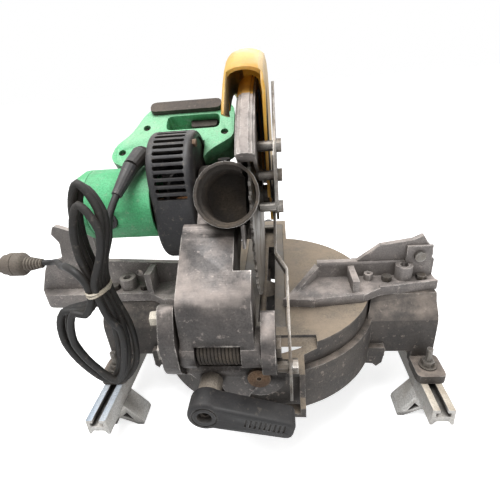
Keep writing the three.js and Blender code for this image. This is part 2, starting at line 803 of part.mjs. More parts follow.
function addBevelBracket() {
  const depth = [bracket.back, bracket.back + bracket.thick];
  const plateBack = join(
    bar("y", bracket.hub, depth, [0, 0], 24),
    sector("y", 22, 62, [168, 248], depth),
    block([ears.left[0], ears.right[1]], depth, [3, 15]),
    plate("y", [[-72, 3], [-40, 3], [-36, -12], [-58, -14]], depth),
  );
  const arcSlot = join(
    sector("y", bracket.slot - bracket.slotHalf, bracket.slot + bracket.slotHalf, [181, 236], [-171, -157]),
    ...[181, 236].map((turn) => {
      const a = THREE.MathUtils.degToRad(turn);
      const at = [bracket.slot * Math.cos(a), bracket.slot * Math.sin(a)];
      return bar("y", bracket.slotHalf, [-171, -157], at, 16);
    }),
  );
  const leftEar = plate(
    "x",
    [
      [-187, 22, 8],
      [-170, 3],
      [-158, 3],
      [-156, 30],
      [-156, 84, 6],
      [-172, 92, 8],
      [-187, 60, 6],
    ],
    ears.left,
  );
  const rightEar = plate(
    "x",
    [
      [-187, 20, 12],
      [-172, 3],
      [-158, 3],
      [-158, 36],
      [-150, 42],
      [-150, 68, 4],
      [-160, 75, 4],
      [-187, 48, 14],
    ],
    ears.right,
  );
  const body = cut(
    join(plateBack.subtract(arcSlot), leftEar, rightEar),
    bar("x", hinge.clear, [ears.left[1], ears.right[0]], hingeAt, 24),
    bar("x", hinge.pin + fit, [-100, 30], hingeAt),
    bar("y", 5.3, [-180, -150], [0, 0], 10),
    bar("x", 5.2, [0, 30], [linkPivot.y, linkPivot.z], 10),
    bar("x", 4.3, [-100, -70], [-165, 73], 8),
    bar("x", 9.6, [ears.right[1], 50], [linkPivot.y, linkPivot.z]),
    bar("y", 12.6, [bracket.back - 5, bracket.back], [0, 0]),
  );
  add(bevelBracket, "bevel_bracket", body, finishes.castGrey);

  const disc = join(
    bar("y", 12, [bracket.back - 4, bracket.back - fit]),
    bar("y", 5, [bracket.back - 1, -139], [0, 0], 10),
  );
  add(bevelBracket, "bevel_pivot_bolt", disc.subtract(hexagon("y", 2.5, [-176, -172])), finishes.rust);

  const pin = join(
    bar("x", hinge.pin, [-95, 24], hingeAt),
    hexagon("x", 12, [-99, ears.left[0] - fit], hingeAt),
    hexagon("x", 11, [ears.right[1] + fit, 24], hingeAt),
  );
  add(bevelBracket, "hinge_pin", pin, finishes.steel);

  const stop = join(
    hexagon("x", 7.5, [ears.left[0] - 10, ears.left[0] - fit], [-165, 73]),
    bar("x", 4, [ears.left[0] - 1, arm.left - 2.4], [-165, 73], 8),
  );
  add(bevelBracket, "depth_stop_bolt", stop, finishes.cream);

  const pivot = [linkPivot.y, linkPivot.z];
  const bolt = join(
    bar("x", 4.8, [ears.right[0] + slack, 38], pivot, 10),
    bar("x", 6.5, [ears.right[1] + fit, 30.6], pivot, 10),
    hexagon("x", 8, [34.4, 40], pivot),
  );
  add(bevelBracket, "link_pivot_bolt", bolt, finishes.steel);
}

// A spring wound round the hinge pin that lifts the head.
function addTorsionSpring() {
  const wire = 1.8;
  const turns = 8;
  const [from, to] = [-55, -19];
  const count = turns * 10;
  const points = Array.from({ length: count + 1 }, (_, i) => {
    const a = (i / 10) * Math.PI * 2;
    const x = from + ((to - from) * i) / count;
    return [x, hinge.y + 16 * Math.cos(a), hinge.z + 16 * Math.sin(a)];
  });
  add(bevelBracket, "torsion_spring", cord(points, wire, count, 6), finishes.steel);
}

// ---------- head ----------
const hingeSeen = [hinge.y - spindle.y, hinge.z - spindle.z]; // the hinge from the spindle
const motorAxis = [motor.y, motor.z];

// The space taken by the gear case, by the dust port and by the shroud.
function gearEnvelope(gap) {
  const along = [-63.7 - gap, hood.left - fit + gap];
  return join(bar("x", 42 + gap, along, [0, 0], 24), bar("x", 40 + gap, along, motorAxis, 24));
}

function placePort(shape) {
  return shape.rotate([-port.tilt, 0, 0]).translate([port.x, port.y, port.z]);
}

const portEnvelope = (gap) => placePort(bar("y", port.outer + gap, [-3, port.length + gap], [0, 0], 24));

function stadium(radius) {
  const shape = new THREE.Shape();
  shape.absarc(shroud.y, shroud.z + shroud.rise, radius, 0, Math.PI);
  shape.absarc(shroud.y, shroud.z - shroud.rise, radius, Math.PI, Math.PI * 2);
  shape.closePath();
  return shape;
}

function shroudEnvelope(gap) {
  return plate("x", stadium(shroud.half + gap), [shroud.left - gap, shroud.right + gap], 8);
}

function addArm() {
  const at = ([u, v, r]) => [hingeSeen[0] + u, hingeSeen[1] + v, r];
  const side = [
    [-17, 6],
    [-13, 60, 12],
    [45, 102, 4],
    [61, 110, 4],
    [73, 105],
    [73, 60],
    [35, 32],
    [21, 12],
    [8, 6],
  ].map(at);
  const neck = [
    [-128, -6],
    [-112, 6],
    [-74, 36],
    [-40, 34],
    [-40, -20],
    [-100, -42],
  ];
  const gap = [-59.5, -14.5];
  const body = cut(
    join(
      plate("x", side, [arm.left, arm.right]),
      plate("x", neck, [arm.left + 14, hood.left - fit]),
      bar("x", hinge.lug, [ears.left[1] + slack, gap[0]], hingeSeen, 24),
      bar("x", hinge.lug, [gap[1], ears.right[0] - slack], hingeSeen, 24),
    ),
    bar("x", hinge.clear, gap, hingeSeen, 24),
    bar("x", hinge.pin + fit, [-80, 10], hingeSeen),
    bar("x", arm.clear, [hood.left - fit, 40], [0, 0], 40),
    gearEnvelope(fit),
    portEnvelope(fit),
  );
  add(head, "head_arm", body, finishes.castGrey);
}

// A band of the hood's rim. Its outside swells towards the end above the dust port.
function rimBand(inset, sides) {
  const steps = 32;
  const ends = Array.from({ length: steps + 1 }, (_, i) => rim.from + ((rim.to - rim.from) * i) / steps);
  const at = (turn, reach) => {
    const a = THREE.MathUtils.degToRad(turn);
    return [reach * Math.cos(a), reach * Math.sin(a)];
  };
  const share = (turn) => Math.max(0, turn - rim.swellsFrom) / (rim.to - rim.swellsFrom);
  const outside = ends.map((turn) => at(turn, hood.outer - inset + rim.swell * share(turn) ** 1.4));
  const inside = ends.map((turn) => at(turn, hood.inner)).reverse();
  return plate("x", [...outside, ...inside], sides);
}

function addHood() {
  const { left, face, right, inner, wall, from, to } = hood;
  const shell = join(
    rimBand(0, [face + 5, right - 5]),
    rimBand(1.3, [face + 2, right - 2]),
    rimBand(3.6, [face, right]),
    sector("x", 0, inner + 1, [from, to], [face, face + wall], 36),
    bar("x", 58, [left, face + wall], [0, 0], 24),
    sector("x", inner - 8, inner + 1, [from, 130], [right - 3, right], 26),
    sector("x", 98, inner + 1, [129, rim.to], [right - 3, right], 8),
    bar("x", 13, [handle.right + fit, face + 1], [26, 56], 12),
  );
  const body = cut(shell, bar("x", 17, [left - 1, face + wall + 1]), portEnvelope(fit));
  add(head, "blade_case", body, finishes.castGrey);
}

function addGearCase() {
  const inside = join(
    bar("x", 36, [-65, hood.left - 6], [0, 0], 24),
    bar("x", 34, [-65, hood.left - 6], motorAxis, 24),
  );
  const boss = bar("x", 20, [-34, hood.left - 5]);
  const body = cut(
    join(gearEnvelope(0).subtract(inside), boss),
    bar("x", 16 + fit, [-33, -17]),
    bar("x", 12, [-35, -17]),
    bar("z", 5.4, [20, 50], [-40, 0], 10),
  );
  add(head, "gear_case", body, finishes.castGrey);
  add(head, "arbor_bearings", washer("x", 16, 8.5, [-32.7, hood.left - fit], [0, 0]), finishes.steel);
  const button = pivotGroup(head, -40, 0, 0);
  const stem = join(bar("z", 5, [37, 47], [0, 0], 10), bar("z", 8, [45.3, 49], [0, 0], 10));
  add(button, "spindle_lock_button", stem, finishes.black);
}

function addDustPort() {
  const { outer, inner, length } = port;
  const cup = turned(
    "y",
    [
      [0, length - 4],
      [inner - 1.5, length - 4],
      [inner - 1.5, 9],
      [inner + 1, 8],
      [inner + 1, 0],
      [outer, 0],
      [outer, 7],
      [outer - 1, 9],
      [outer - 1, length],
      [0, length],
    ],
    [0, 0],
    24,
  );
  const clear = [hood.face + hood.wall + fit, hood.right + 12];
  const bladeSpace = bar("x", blade.radius + 4, clear, [0, 0], 40);
  add(head, "dust_port", cut(placePort(cup), bladeSpace, gearEnvelope(fit)), finishes.castGrey);
}

function addShroud() {
  const { left, right, half, wall } = shroud;
  const slots = Array.from({ length: 9 }, (_, i) =>
    block([left + 9, right - 10], [half - 12, half + 2], [-2.4, 2.4])
      .rotate([72 + i * 12.5, 0, 0])
      .translate([0, shroud.y, shroud.z + shroud.rise]),
  );
  const lower = Array.from({ length: 4 }, (_, i) =>
    block([left + 9, right - 10], [-half - 2, 8 - half], [-2.6, 2.6])
      .translate([0, shroud.y, shroud.z + shroud.rise - 9 - i * 10]),
  );
  const body = cut(
    join(
      plate("x", stadium(half), [left, right], 8),
      block([right - 8, right + 4], [shroud.y - 45, shroud.y - 37], [32, 52]),
    ),
    plate("x", stadium(half - wall), [left + wall, right - wall], 8),
    plate("x", stadium(half - 8), [right - 2.5, right + 1], 8),
    bar("x", 36, [left - 1, left + wall + 1], motorAxis, 24),
    bar("x", 9, [right - wall - 1, right + 1], motorAxis, 10),
    ...slots,
    ...lower,
  );
  add(head, "fan_shroud", cut(body, gearEnvelope(fit)), finishes.black);
}

function addMotor() {
  const { inner, outer, radius, wall, tail } = motor;
  const brushX = outer + 25;
  const seats = [-1, 1].map((s) => {
    const y = span(s, radius - 6.5, radius + 8).map((v) => v + motor.y);
    return bar("y", 11.3, y, [brushX, motor.z - 6], 12);
  });
  const body = cut(
    bar("x", radius, [outer, inner], motorAxis, 24),
    bar("x", radius - wall, [outer - 1, inner + 1], motorAxis, 24),
    ...seats,
  );
  add(head, "motor_housing", body, finishes.green);

  const cap = turned(
    "x",
    [
      [0, tail],
      [28, tail],
      [36, tail + 5],
      [radius, outer - 8],
      [radius, outer - fit],
      [radius - wall, outer - fit],
      [radius - wall - 1, outer - 9],
      [30, tail + 12],
      [0, tail + 12],
    ],
    motorAxis,
    24,
  );
  const vents = Array.from({ length: 8 }, (_, i) =>
    block([tail - 1, tail + 14], [-2, 2], [12, 25]).rotate([i * 45, 0, 0]).translate([0, motor.y, motor.z]),
  );
  add(head, "motor_end_cover", cut(cap, ...vents), finishes.green);

  for (const [name, s] of [
    ["brush_cap_rear", -1],
    ["brush_cap_front", 1],
  ]) {
    const y = span(s, radius - 6.2, radius + 1).map((v) => v + motor.y);
    const slot = span(s, radius - 1, radius + 2).map((v) => v + motor.y);
    const cap = bar("y", 11, y, [brushX, motor.z - 6], 12);
    const groove = block([brushX - 8, brushX + 8], slot, [motor.z - 7.2, motor.z - 4.8]);
    add(head, name, cap.subtract(groove), finishes.black);
  }

  const spin = pivotGroup(head, 0, motor.y, motor.z);
  const armature = join(
    bar("x", 25, [-175, -128]),
    bar("x", 14, [-190, -179]),
    bar("x", 5, [tail + 14, -38], [0, 0], 10),
    bar("x", 6.6, [-53, -38.5], [0, 0], 11),
  );
  add(spin, "armature", armature, finishes.copper);
  const blades = Array.from({ length: 9 }, (_, i) =>
    block([-112, -100], [-1, 1], [9, 33]).rotate([i * 40, 0, 0]),
  );
  const fan = join(bar("x", 33, [-101, -98], [0, 0], 24), bar("x", 10, [-112, -98]), ...blades);
  add(spin, "cooling_fan", fan.subtract(bar("x", 5.3, [-113, -97], [0, 0], 10)), finishes.black);
}

// ---------- saw blade ----------
function addBlade() {
  const spin = pivotGroup(head, 0, 0, 0);
  const shape = new THREE.Shape();
  const step = (Math.PI * 2) / blade.teeth;
  for (let i = 0; i < blade.teeth; i++) {
    const a = i * step;
    const points = [
      [blade.body, a],
      [blade.radius, a + step * 0.1],
      [blade.radius - 1.5, a + step * 0.4],
      [blade.body, a + step * 0.75],
    ];
    points.forEach(([r, t], k) => {
      if (i || k) shape.lineTo(r * Math.cos(t), r * Math.sin(t));
      else shape.moveTo(r * Math.cos(t), r * Math.sin(t));
    });
  }
  shape.closePath();
  const half = blade.thick / 2;
  const disc = plate("x", shape, [-half, half]).subtract(bar("x", blade.bore, [-3, 3]));
  add(spin, "blade", disc, finishes.steel);

  const near = half + fit;
  const nose = washer("x", hubBore - slack, 10, [near + 5, guard.right + 0.2], [0, 0]);
  const flange = washer("x", 22, blade.bore, [near, near + 5.5], [0, 0]).add(nose);
  add(spin, "blade_flange", flange, finishes.steel);
  const shaft = join(bar("x", 8, [-56, 9.2]), bar("x", 22, [-near - 4.5, -near]));
  add(spin, "arbor_shaft", shaft.subtract(bar("x", 3.8, [-8, 10], [0, 0], 8)), finishes.steel);
  const bolt = join(hexagon("x", 9, [9.6, 17]), bar("x", 3.5, [-7, 10], [0, 0], 8));
  add(spin, "arbor_bolt", bolt, finishes.steel);
  add(spin, "drive_gear", washer("x", 26.6, 8.3, [-52, -40], [0, 0], 24), finishes.steel);
}

// ---------- lower guard and its linkage ----------
const hubBore = 13;

function addGuard() {
  const { eaves, dome, left, right, wall, from, to } = guard;
  const turn = pivotGroup(head, 0, 0, 0);
  const a = THREE.MathUtils.degToRad(guardPin.angle);
  const pinAt = [guardPin.reach * Math.cos(a), guardPin.reach * Math.sin(a)];
  const middle = (left + right) / 2;
  const half = (right - left) / 2;
  // The roof's arch from the right wall to the left one.
  const arch = (reach, rise, wide) =>
    Array.from({ length: 9 }, (_, i) => {
      const t = (i * Math.PI) / 8;
      return [reach + rise * Math.sin(t) ** 0.7, middle + wide * Math.cos(t)];
    });
  const channel = turned(
    "x",
    [
      [122, left],
      ...arch(eaves, dome, half).reverse(),
      [30, right],
      [30, right - wall],
      ...arch(eaves - 2, dome - 1.2, half - wall),
      [122, left + wall],
      [122, left],
    ],
    [0, 0],
    44,
  );
  // The walls reach further back than the rim: the left one to a point, the right one to a straight edge.
  const leftTail = plate("x", [[-66, 104], [-56, 162], [-74, 148], [-116, 112]], [left - 1, left + wall + 1]);
  const rightTail = plate(
    "x",
    [
      [-10, 20],
      [-60, 158],
      [-80, 136],
      [-86, 104],
      [-86, 24],
      [-30, 4],
    ],
    [right - wall - 1, right + 1],
  );
  const wedge = sector("x", 0, eaves + 24, [from, to], [left - 1, right + 1], 24);
  const shell = join(
    channel.intersect(join(wedge, leftTail, rightTail)),
    bar("x", 34, [right - wall, right], [0, 0], 24),
    bar("x", guardPin.radius, [right - 1, right + 4.5], pinAt, 10),
  );
  add(turn, "lower_guard", shell.subtract(bar("x", hubBore, [right - 4, right + 1])), finishes.amber);
}

// The guard pin seen from the link's pivot when the head is raised by an angle.
function pinFromLink(chop) {
  const c = THREE.MathUtils.degToRad(chop);
  const turn = (y, z, a) => [y * Math.cos(a) - z * Math.sin(a), y * Math.sin(a) + z * Math.cos(a)];
  const [hy, hz] = turn(spindle.y - hinge.y, spindle.z - hinge.z, c);
  const a = THREE.MathUtils.degToRad(guardPin.angle) + c * (1 - guardRatio);
  const y = hinge.y + hy + guardPin.reach * Math.cos(a) - linkPivot.y;
  const z = hinge.z + hz + guardPin.reach * Math.sin(a) - linkPivot.z;
  return { angle: Math.atan2(z, y), reach: Math.hypot(y, z) };
}

function addGuardLink() {
  const rest = pinFromLink(0);
  const ratio = (pinFromLink(chopRange).angle - rest.angle) / chopRange;
  const path = Array.from({ length: 11 }, (_, i) => {
    const chop = (i * chopRange) / 10;
    const pin = pinFromLink(chop);
    const off = pin.angle - rest.angle - ratio * chop;
    return [pin.reach * Math.cos(off), pin.reach * Math.sin(off)];
  });
  const far = Math.max(...path.map(([s]) => s));
  const near = Math.min(...path.map(([s]) => s));
  const clear = guardPin.radius + slack;
  const low = [guard.right + 12.5, guard.right + 15.5];
  const high = [guard.right + 1, guard.right + 4];
  const bend = [
    [low[0], -14],
    [low[1], -14],
    [low[1], 101],
    [high[1], 121],
    [high[1], far + 20],
    [high[0], far + 20],
    [high[0], 119],
    [low[0], 99],
  ];
  const face = [
    [-11, -8, 5],
    [40, -7],
    [near - 34, -8],
    [near - 12, -14, 6],
    [far + 12, -14, 12],
    [far + 12, 14, 12],
    [near - 12, 14, 6],
    [near - 34, 8],
    [40, 7],
    [-11, 8, 5],
  ];
  const slots = path.slice(1).map(([s1, t1], i) => {
    const [s0, t0] = path[i];
    const turn = THREE.MathUtils.radToDeg(Math.atan2(t1 - t0, s1 - s0));
    const length = Math.hypot(s1 - s0, t1 - t0);
    const run = block([10, 30], [0, length], [-clear, clear]).rotate([turn, 0, 0]).translate([0, s0, t0]);
    return join(run, bar("x", clear, [10, 30], [s0, t0], 12));
  });
  const strip = plate("z", bend, [-20, 20]).intersect(plate("x", face, [0, 50]));
  const link = cut(strip, ...slots, bar("x", clear, [10, 30], path.at(-1), 20));
  const tail = plate("x", linkTail, low);
  const body = join(link.rotate([THREE.MathUtils.radToDeg(rest.angle), 0, 0]), tail);
  const group = pivotGroup(bevelBracket, 0, linkPivot.y, linkPivot.z);
  add(group, "guard_link", body.subtract(bar("x", 5.2, [0, 60], [0, 0], 10)), finishes.steel);
}

// The curved tail below the link's pivot.
const linkTail = [
  [-9, 4, 3],
  [-13, -20, 8],
  [-8, -42, 3],
  [-1, -42, 3],
  [-5, -22, 8],
  [4, -6],
  [2, 4],
];

function addSideCover() {
  const outlineAt = [
    [-28, 134, 3],
    [-105, 84, 6],
    [-121, 40, 10],
    [-112, 14, 8],
    [-72, 8, 8],
    [-38, -22, 10],
    [-4, -30, 14],
    [14, -4, 14],
    [-8, 40, 20],
    [-26, 90, 10],
  ];
  const spacers = [
    [-98, 79],
    [-96, 50],
    [-110, 22],
  ];
  const x = [guard.right + 5, guard.right + 8];
  const blank = plate("x", outlineAt, x);
  const posts = spacers.flatMap((at) => [
    bar("x", 5, [hood.right + fit, x[0] + 1], at, 10),
    hexagon("x", 6.5, [x[1] - 1, x[1] + 5], at),
  ]);
  add(head, "side_cover_plate", join(blank, ...posts), finishes.aluminium);
}

// ---------- handle ----------
const grip = { from: -144, to: -40, inner: 84, outer: 106 };
const boot = [
  [-130.5, -10, 58],
  [-133, -32, 66],
  [-137, -58, 58.5],
  [-147, -88, 35.5],
];

const toHandle = (shape) => shape.translate([0, -handle.y, -handle.z]).rotate([-handle.tilt, 0, 0]);

// The cord's boot where it leaves the handle, seen from the spindle.
function reliefEnvelope(gap) {
  const [a, b, c, d] = boot;
  return join(
    taper(a, b, 10.5 + gap, 10.5 + gap),
    taper(b, c, 10.5 + gap, 8.8 + gap),
    taper(c, d, 8.8 + gap, 5.6 + gap),
  );
}

function addHandle() {
  const face = [
    [-160, 0, 6],
    [-70, 0],
    [-58, 21, 10],
    [handle.right, 43, 8],
    [handle.right, 95, 9],
    [-41, grip.outer, 8],
    [-134, grip.outer, 10],
    [-149, 90, 10],
    [-162, 57, 14],
    [-182, 38, 12],
    [-184, 14, 10],
  ];
  const hole = plate("z", rounded([-117, -46], [59, grip.inner], 8), [-60, 10]);
  const pocket = block([-88, -51], [grip.inner - 1, 97], [-26, -10]);
  const screws = [
    [-170, 26],
    [-143, 66],
    [-39, 51],
  ];
  const motorSpace = bar("x", motor.radius + fit, [motor.tail, motor.inner + fit], motorAxis, 24);
  const envelopes = [shroudEnvelope(fit), reliefEnvelope(fit), motorSpace, gearEnvelope(fit)];
  const clear = [hole, pocket, ...envelopes.map(toHandle)];
  const wells = screws.map((at) => bar("z", 5, [-8, 1], at, 10));
  const upper = plate("z", face, [-handle.upper, 0]);
  const lower = plate("z", face, [-handle.lower, -handle.upper - fit]);
  add(handleFrame, "handle_upper_shell", cut(upper, ...clear, ...wells), finishes.green);
  add(handleFrame, "handle_lower_shell", cut(lower, ...clear), finishes.green);
  const strip = plate("z", rounded([grip.from + 4, grip.to - 4], [88, 105], 8), [fit, 6.5]);
  add(handleFrame, "grip_rubber", strip, finishes.rubber);
  const slide = pivotGroup(handleFrame, 0, 0, 0);
  const trigger = plate("z", rounded([-87, -52], [74, 89], 4), [-25, -11]);
  add(slide, "trigger", trigger, finishes.black);
  add(head, "strain_relief", cut(reliefEnvelope(0), cordShape(cable + 0.2)), finishes.black);
}

// ---------- mains cord ----------
// Points of the cord, seen from the ground below the mitre axis.
const tieAt = [-167, -130, 243];
const layer = 8.6;

function hankPoints() {
  const loops = [
    { left: -236, right: -152, bottom: 92, top: 350 },
    { left: -222, right: -156, bottom: 104, top: 356 },
    { left: -226, right: -160, bottom: 112, top: 338 },
    { left: -208, right: -150, bottom: 120, top: 0 },
  ];
  const [tx, ty, tz] = tieAt;
  const points = [];
  loops.forEach(({ left, right, bottom, top }, k) => {
    const y = ty + 1.5 * layer - k * layer;
    const down = tx + layer / 2;
    const up = tx - layer / 2;
    const low = (bottom + tz) / 2;
    points.push([down, y, tz + 12], [down, y, tz - 8], [down + 5, y, tz - 34], [right, y, low + 16]);
    points.push([right - 6, y, bottom + 32], [(left + right) / 2 + 6, y, bottom]);
    points.push([left + 18, y, bottom + 18]);
    points.push([left, y, low - 4], [left + 12, y, low + 38], [up - 12, y, tz - 26], [up, y, tz - 6]);
    points.push([up, y, tz + 12]);
    if (!top) return;
    const high = (top + tz) / 2;
    points.push([up - 3, y - 1, high - 8], [up + 2, y - 2.5, top - 22], [up + 15, y - layer / 2, top]);
    points.push([down + 20, y - layer + 2.5, top - 26], [down + 12, y - layer + 1, high - 10]);
  });
  return points;
}

// The same points seen from the spindle.
const seen = ([x, y, z]) => [x, y - spindle.y, z - tableTop + bevelDrop - spindle.z];
const plugAt = [-298, -32, 224];

function cordShape(radius) {
  const lead = [boot[2], boot[3], ...[[-153, -98, 308], [-152, -110, 292], [-158, -116, 274]].map(seen)];
  const tail = [
    [-177, -143, 268],
    [-192, -133, 270],
    [-210, -112, 260],
    [-240, -78, 243],
    [-270, -44, 231],
    [plugAt[0] + 12, plugAt[1], plugAt[2]],
    plugAt,
  ];
  return cord([...lead, ...hankPoints().map(seen), ...tail.map(seen)], radius, 210);
}

function addCord() {
  add(head, "cord", cordShape(cable), finishes.black);
  const [tx, ty, tz] = seen(tieAt);
  const band = (grow) =>
    rounded([tx - layer - grow, tx + layer + grow], [ty - layer * 2 - grow, ty + layer * 2 + grow], 4);
  const tie = plate("z", band(2.4), [tz - 4, tz + 4]).subtract(plate("z", band(0.8), [tz - 5, tz + 5]));
  add(head, "cord_tie", tie, finishes.cream);
  const [px, py, pz] = seen(plugAt);
  const end = px - fit;
  const body = join(
    taper([end, py, pz], [end - 24, py, pz - 1], 6, 11),
    bar("x", 16, [end - 52, end - 22], [py, pz - 1], 16),
    block([end - 56, end - 50], [py - 13, py + 13], [pz - 14, pz + 12]),
    ...[-1, 1].map((s) => block([end - 72, end - 54], [py + s * 7 - 1, py + s * 7 + 1], [pz - 1, pz + 6])),
    block([end - 72, end - 54], [py - 1, py + 1], [pz - 12, pz - 5]),
  );
  add(head, "plug", body, finishes.rubber);
}

addRails();
addRailStuds();
addBase();
addExtension();
addFences();
addSubFence();
addTurntable();
addFrontControls();
addBevelClamp();
addBevelBracket();
addTorsionSpring();
addArm();
addHood();
addGearCase();
addDustPort();
addShroud();
addMotor();
addBlade();
addGuard();
addGuardLink();
addSideCover();
addHandle();
addCord();

// The part's origin is the middle of its footprint, leaving out the cord.
const footprint = new THREE.Box3();
saw.updateMatrixWorld(true);
saw.traverse((node) => {
  if (node.isMesh && !/^(cord|plug)/.test(node.name)) footprint.expandByObject(node, true);
});
const middle = footprint.getCenter(new THREE.Vector3());
saw.position.set(-middle.x, -middle.y, -footprint.min.z);

const part = new THREE.Group();
part.add(saw);
export default part;
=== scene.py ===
import json
import math

import bpy
from mathutils import Matrix, Vector

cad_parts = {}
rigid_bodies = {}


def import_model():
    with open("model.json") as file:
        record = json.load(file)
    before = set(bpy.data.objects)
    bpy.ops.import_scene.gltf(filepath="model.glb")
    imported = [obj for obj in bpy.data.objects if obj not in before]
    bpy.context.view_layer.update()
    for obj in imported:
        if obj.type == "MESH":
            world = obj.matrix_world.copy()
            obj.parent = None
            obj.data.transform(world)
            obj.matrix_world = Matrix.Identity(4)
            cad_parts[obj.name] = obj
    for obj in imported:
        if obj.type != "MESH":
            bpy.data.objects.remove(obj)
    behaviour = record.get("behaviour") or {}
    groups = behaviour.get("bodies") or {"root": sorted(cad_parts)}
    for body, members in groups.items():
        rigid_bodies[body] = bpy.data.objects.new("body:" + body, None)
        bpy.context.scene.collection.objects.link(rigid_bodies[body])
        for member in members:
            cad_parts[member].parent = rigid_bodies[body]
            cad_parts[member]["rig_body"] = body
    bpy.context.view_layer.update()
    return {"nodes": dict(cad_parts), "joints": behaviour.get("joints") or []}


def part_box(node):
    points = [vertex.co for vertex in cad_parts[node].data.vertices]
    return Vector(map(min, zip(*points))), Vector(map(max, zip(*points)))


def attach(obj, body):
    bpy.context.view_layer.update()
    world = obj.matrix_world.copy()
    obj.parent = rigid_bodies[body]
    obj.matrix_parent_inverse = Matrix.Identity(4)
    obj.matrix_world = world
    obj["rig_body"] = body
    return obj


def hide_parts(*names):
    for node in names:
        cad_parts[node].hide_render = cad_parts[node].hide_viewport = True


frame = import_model()
mm = 0.001
joints = {j["name"]: j for j in frame["joints"]}


def jointAt(name):
    return Vector(joints[name]["pos_m"])


# places that everything else is measured from
mitreAxis = jointAt("mitre_swing")
spindle = jointAt("blade_spin")
hinge = jointAt("chop")


def fromSaw(x, y, z):
    return Vector((mitreAxis.x + x * mm, mitreAxis.y + y * mm, z * mm))


def fromSpindle(x, y, z):
    return Vector((mitreAxis.x + x * mm, spindle.y + y * mm, spindle.z + z * mm))


# ---- camera
camera = {
    "place": (29.1, -433.9, 434.1), "yaw": -0.104, "pitch": 0.465, "roll": -0.085,
    "lens": 25.3, "sensor": 36, "near": 0.01, "far": 60,
}


def makeCamera():
    data = bpy.data.cameras.new("camera")
    data.lens = camera["lens"]
    data.sensor_width = camera["sensor"]
    data.clip_start = camera["near"]
    data.clip_end = camera["far"]
    cam = bpy.data.objects.new("camera", data)
    bpy.context.scene.collection.objects.link(cam)
    yaw, pitch, roll = camera["yaw"], camera["pitch"], camera["roll"]
    ahead = Vector((math.sin(yaw) * math.cos(pitch), math.cos(yaw) * math.cos(pitch), -math.sin(pitch)))
    level = Vector((math.cos(yaw), -math.sin(yaw), 0))
    upright = level.cross(ahead)
    right = math.cos(roll) * level + math.sin(roll) * upright
    up = -math.sin(roll) * level + math.cos(roll) * upright
    turn = Matrix((right, up, -ahead)).transposed()
    cam.matrix_world = Matrix.Translation(fromSaw(*camera["place"])) @ turn.to_4x4()
    bpy.context.scene.camera = cam


makeCamera()
print("camera placed")


# ---- mains cord: straight out of the boot, over four loops, through the tie and out to the plug
cordRoute = {
    "diameter": 8.0,
    "boot": [(-130.5, -2, 350), (-133, -24, 358), (-137, -50, 350.5), (-147, -80, 327.5)],
    "hidden": 2,
    "lead": [(-153, -98, 308), (-152, -110, 292), (-158, -116, 274)],
    "tie": (-167, -130, 243),
    "layer": 8.6,
    "steps": 5,
    "loops": [
        {"left": -236, "right": -152, "bottom": 92, "top": 350},
        {"left": -222, "right": -156, "bottom": 104, "top": 356},
        {"left": -226, "right": -160, "bottom": 112, "top": 338},
        {"left": -208, "right": -150, "bottom": 120, "top": 0},
    ],
    "tail": [
        (-177, -143, 268),
        (-192, -133, 270),
        (-210, -112, 260),
        (-240, -78, 243),
        (-270, -44, 231),
        (-286, -32, 224),
        (-298, -32, 224),
    ],
}


# Each loop drops from the tie, turns at its lowest point, comes back up through the tie and, but for
# the last one, goes over the top to the next, one layer further along the saw.
def hankPoints(route):
    tx, ty, tz = route["tie"]
    layer = route["layer"]
    points = []
    for k, loop in enumerate(route["loops"]):
        left, right, bottom, top = loop["left"], loop["right"], loop["bottom"], loop["top"]
        y = ty + 1.5 * layer - k * layer
        down, up = tx + layer / 2, tx - layer / 2
        low = (bottom + tz) / 2
        points += [(down, y, tz + 12), (down, y, tz - 8), (down + 5, y, tz - 34), (right, y, low + 16)]
        points += [(right - 6, y, bottom + 32), ((left + right) / 2 + 6, y, bottom)]
        points += [(left + 18, y, bottom + 18), (left, y, low - 4), (left + 12, y, low + 38)]
        points += [(up - 12, y, tz - 26), (up, y, tz - 6), (up, y, tz + 12)]
        if top:
            high = (top + tz) / 2
            points += [(up - 3, y - 1, high - 8), (up + 2, y - 2.5, top - 22)]
            points += [(up + 15, y - layer / 2, top), (down + 20, y - layer + 2.5, top - 26)]
            points += [(down + 12, y - layer + 1, high - 10)]
    return points


# A smooth curve through points, as a list of points a few millimetres apart.
def smoothPath(points, perSpan):
    p = [Vector(q) for q in points]
    p = [2 * p[0] - p[1]] + p + [2 * p[-1] - p[-2]]
    path = []
    for i in range(1, len(p) - 2):
        t = [0.0]
        for a, b in zip(p[i - 1:i + 2], p[i:i + 3]):
            t.append(t[-1] + max((b - a).length ** 0.5, 1e-6))
        last = i == len(p) - 3
        for k in range(perSpan + last):
            u = t[1] + (t[2] - t[1]) * k / perSpan
            rung = p[i - 1:i + 3]
            for reach in (1, 2, 3):
                rung = [
                    rung[j] * ((t[j + reach] - u) / (t[j + reach] - t[j]))
                    + rung[j + 1] * ((u - t[j]) / (t[j + reach] - t[j]))
                    for j in range(4 - reach)
                ]
            path.append(rung[0])
    return path


# ---- modelling helpers
def deselectAll():
    for o in bpy.context.selected_objects:
        o.select_set(False)


def activate(o):
    deselectAll()
    o.select_set(True)
    bpy.context.view_layer.objects.active = o


def added(name):
    o = bpy.context.active_object
    o.name = name
    bpy.ops.object.transform_apply(location=True, rotation=True, scale=True)
    return o


# Corners, heights and radii this near count as one, in metres, and faces this flat, in degrees.
same = {"spun": 0.00001, "corner": 0.00002, "radius": 0.00004, "flat": 0.6}
usualAngle = 35
quarter = math.pi / 2
turns = {"x": (0, quarter, 0), "y": (-quarter, 0, 0), "z": (0, 0, 0)}
ways = {"x": Vector((1, 0, 0)), "y": Vector((0, 1, 0)), "z": Vector((0, 0, 1))}


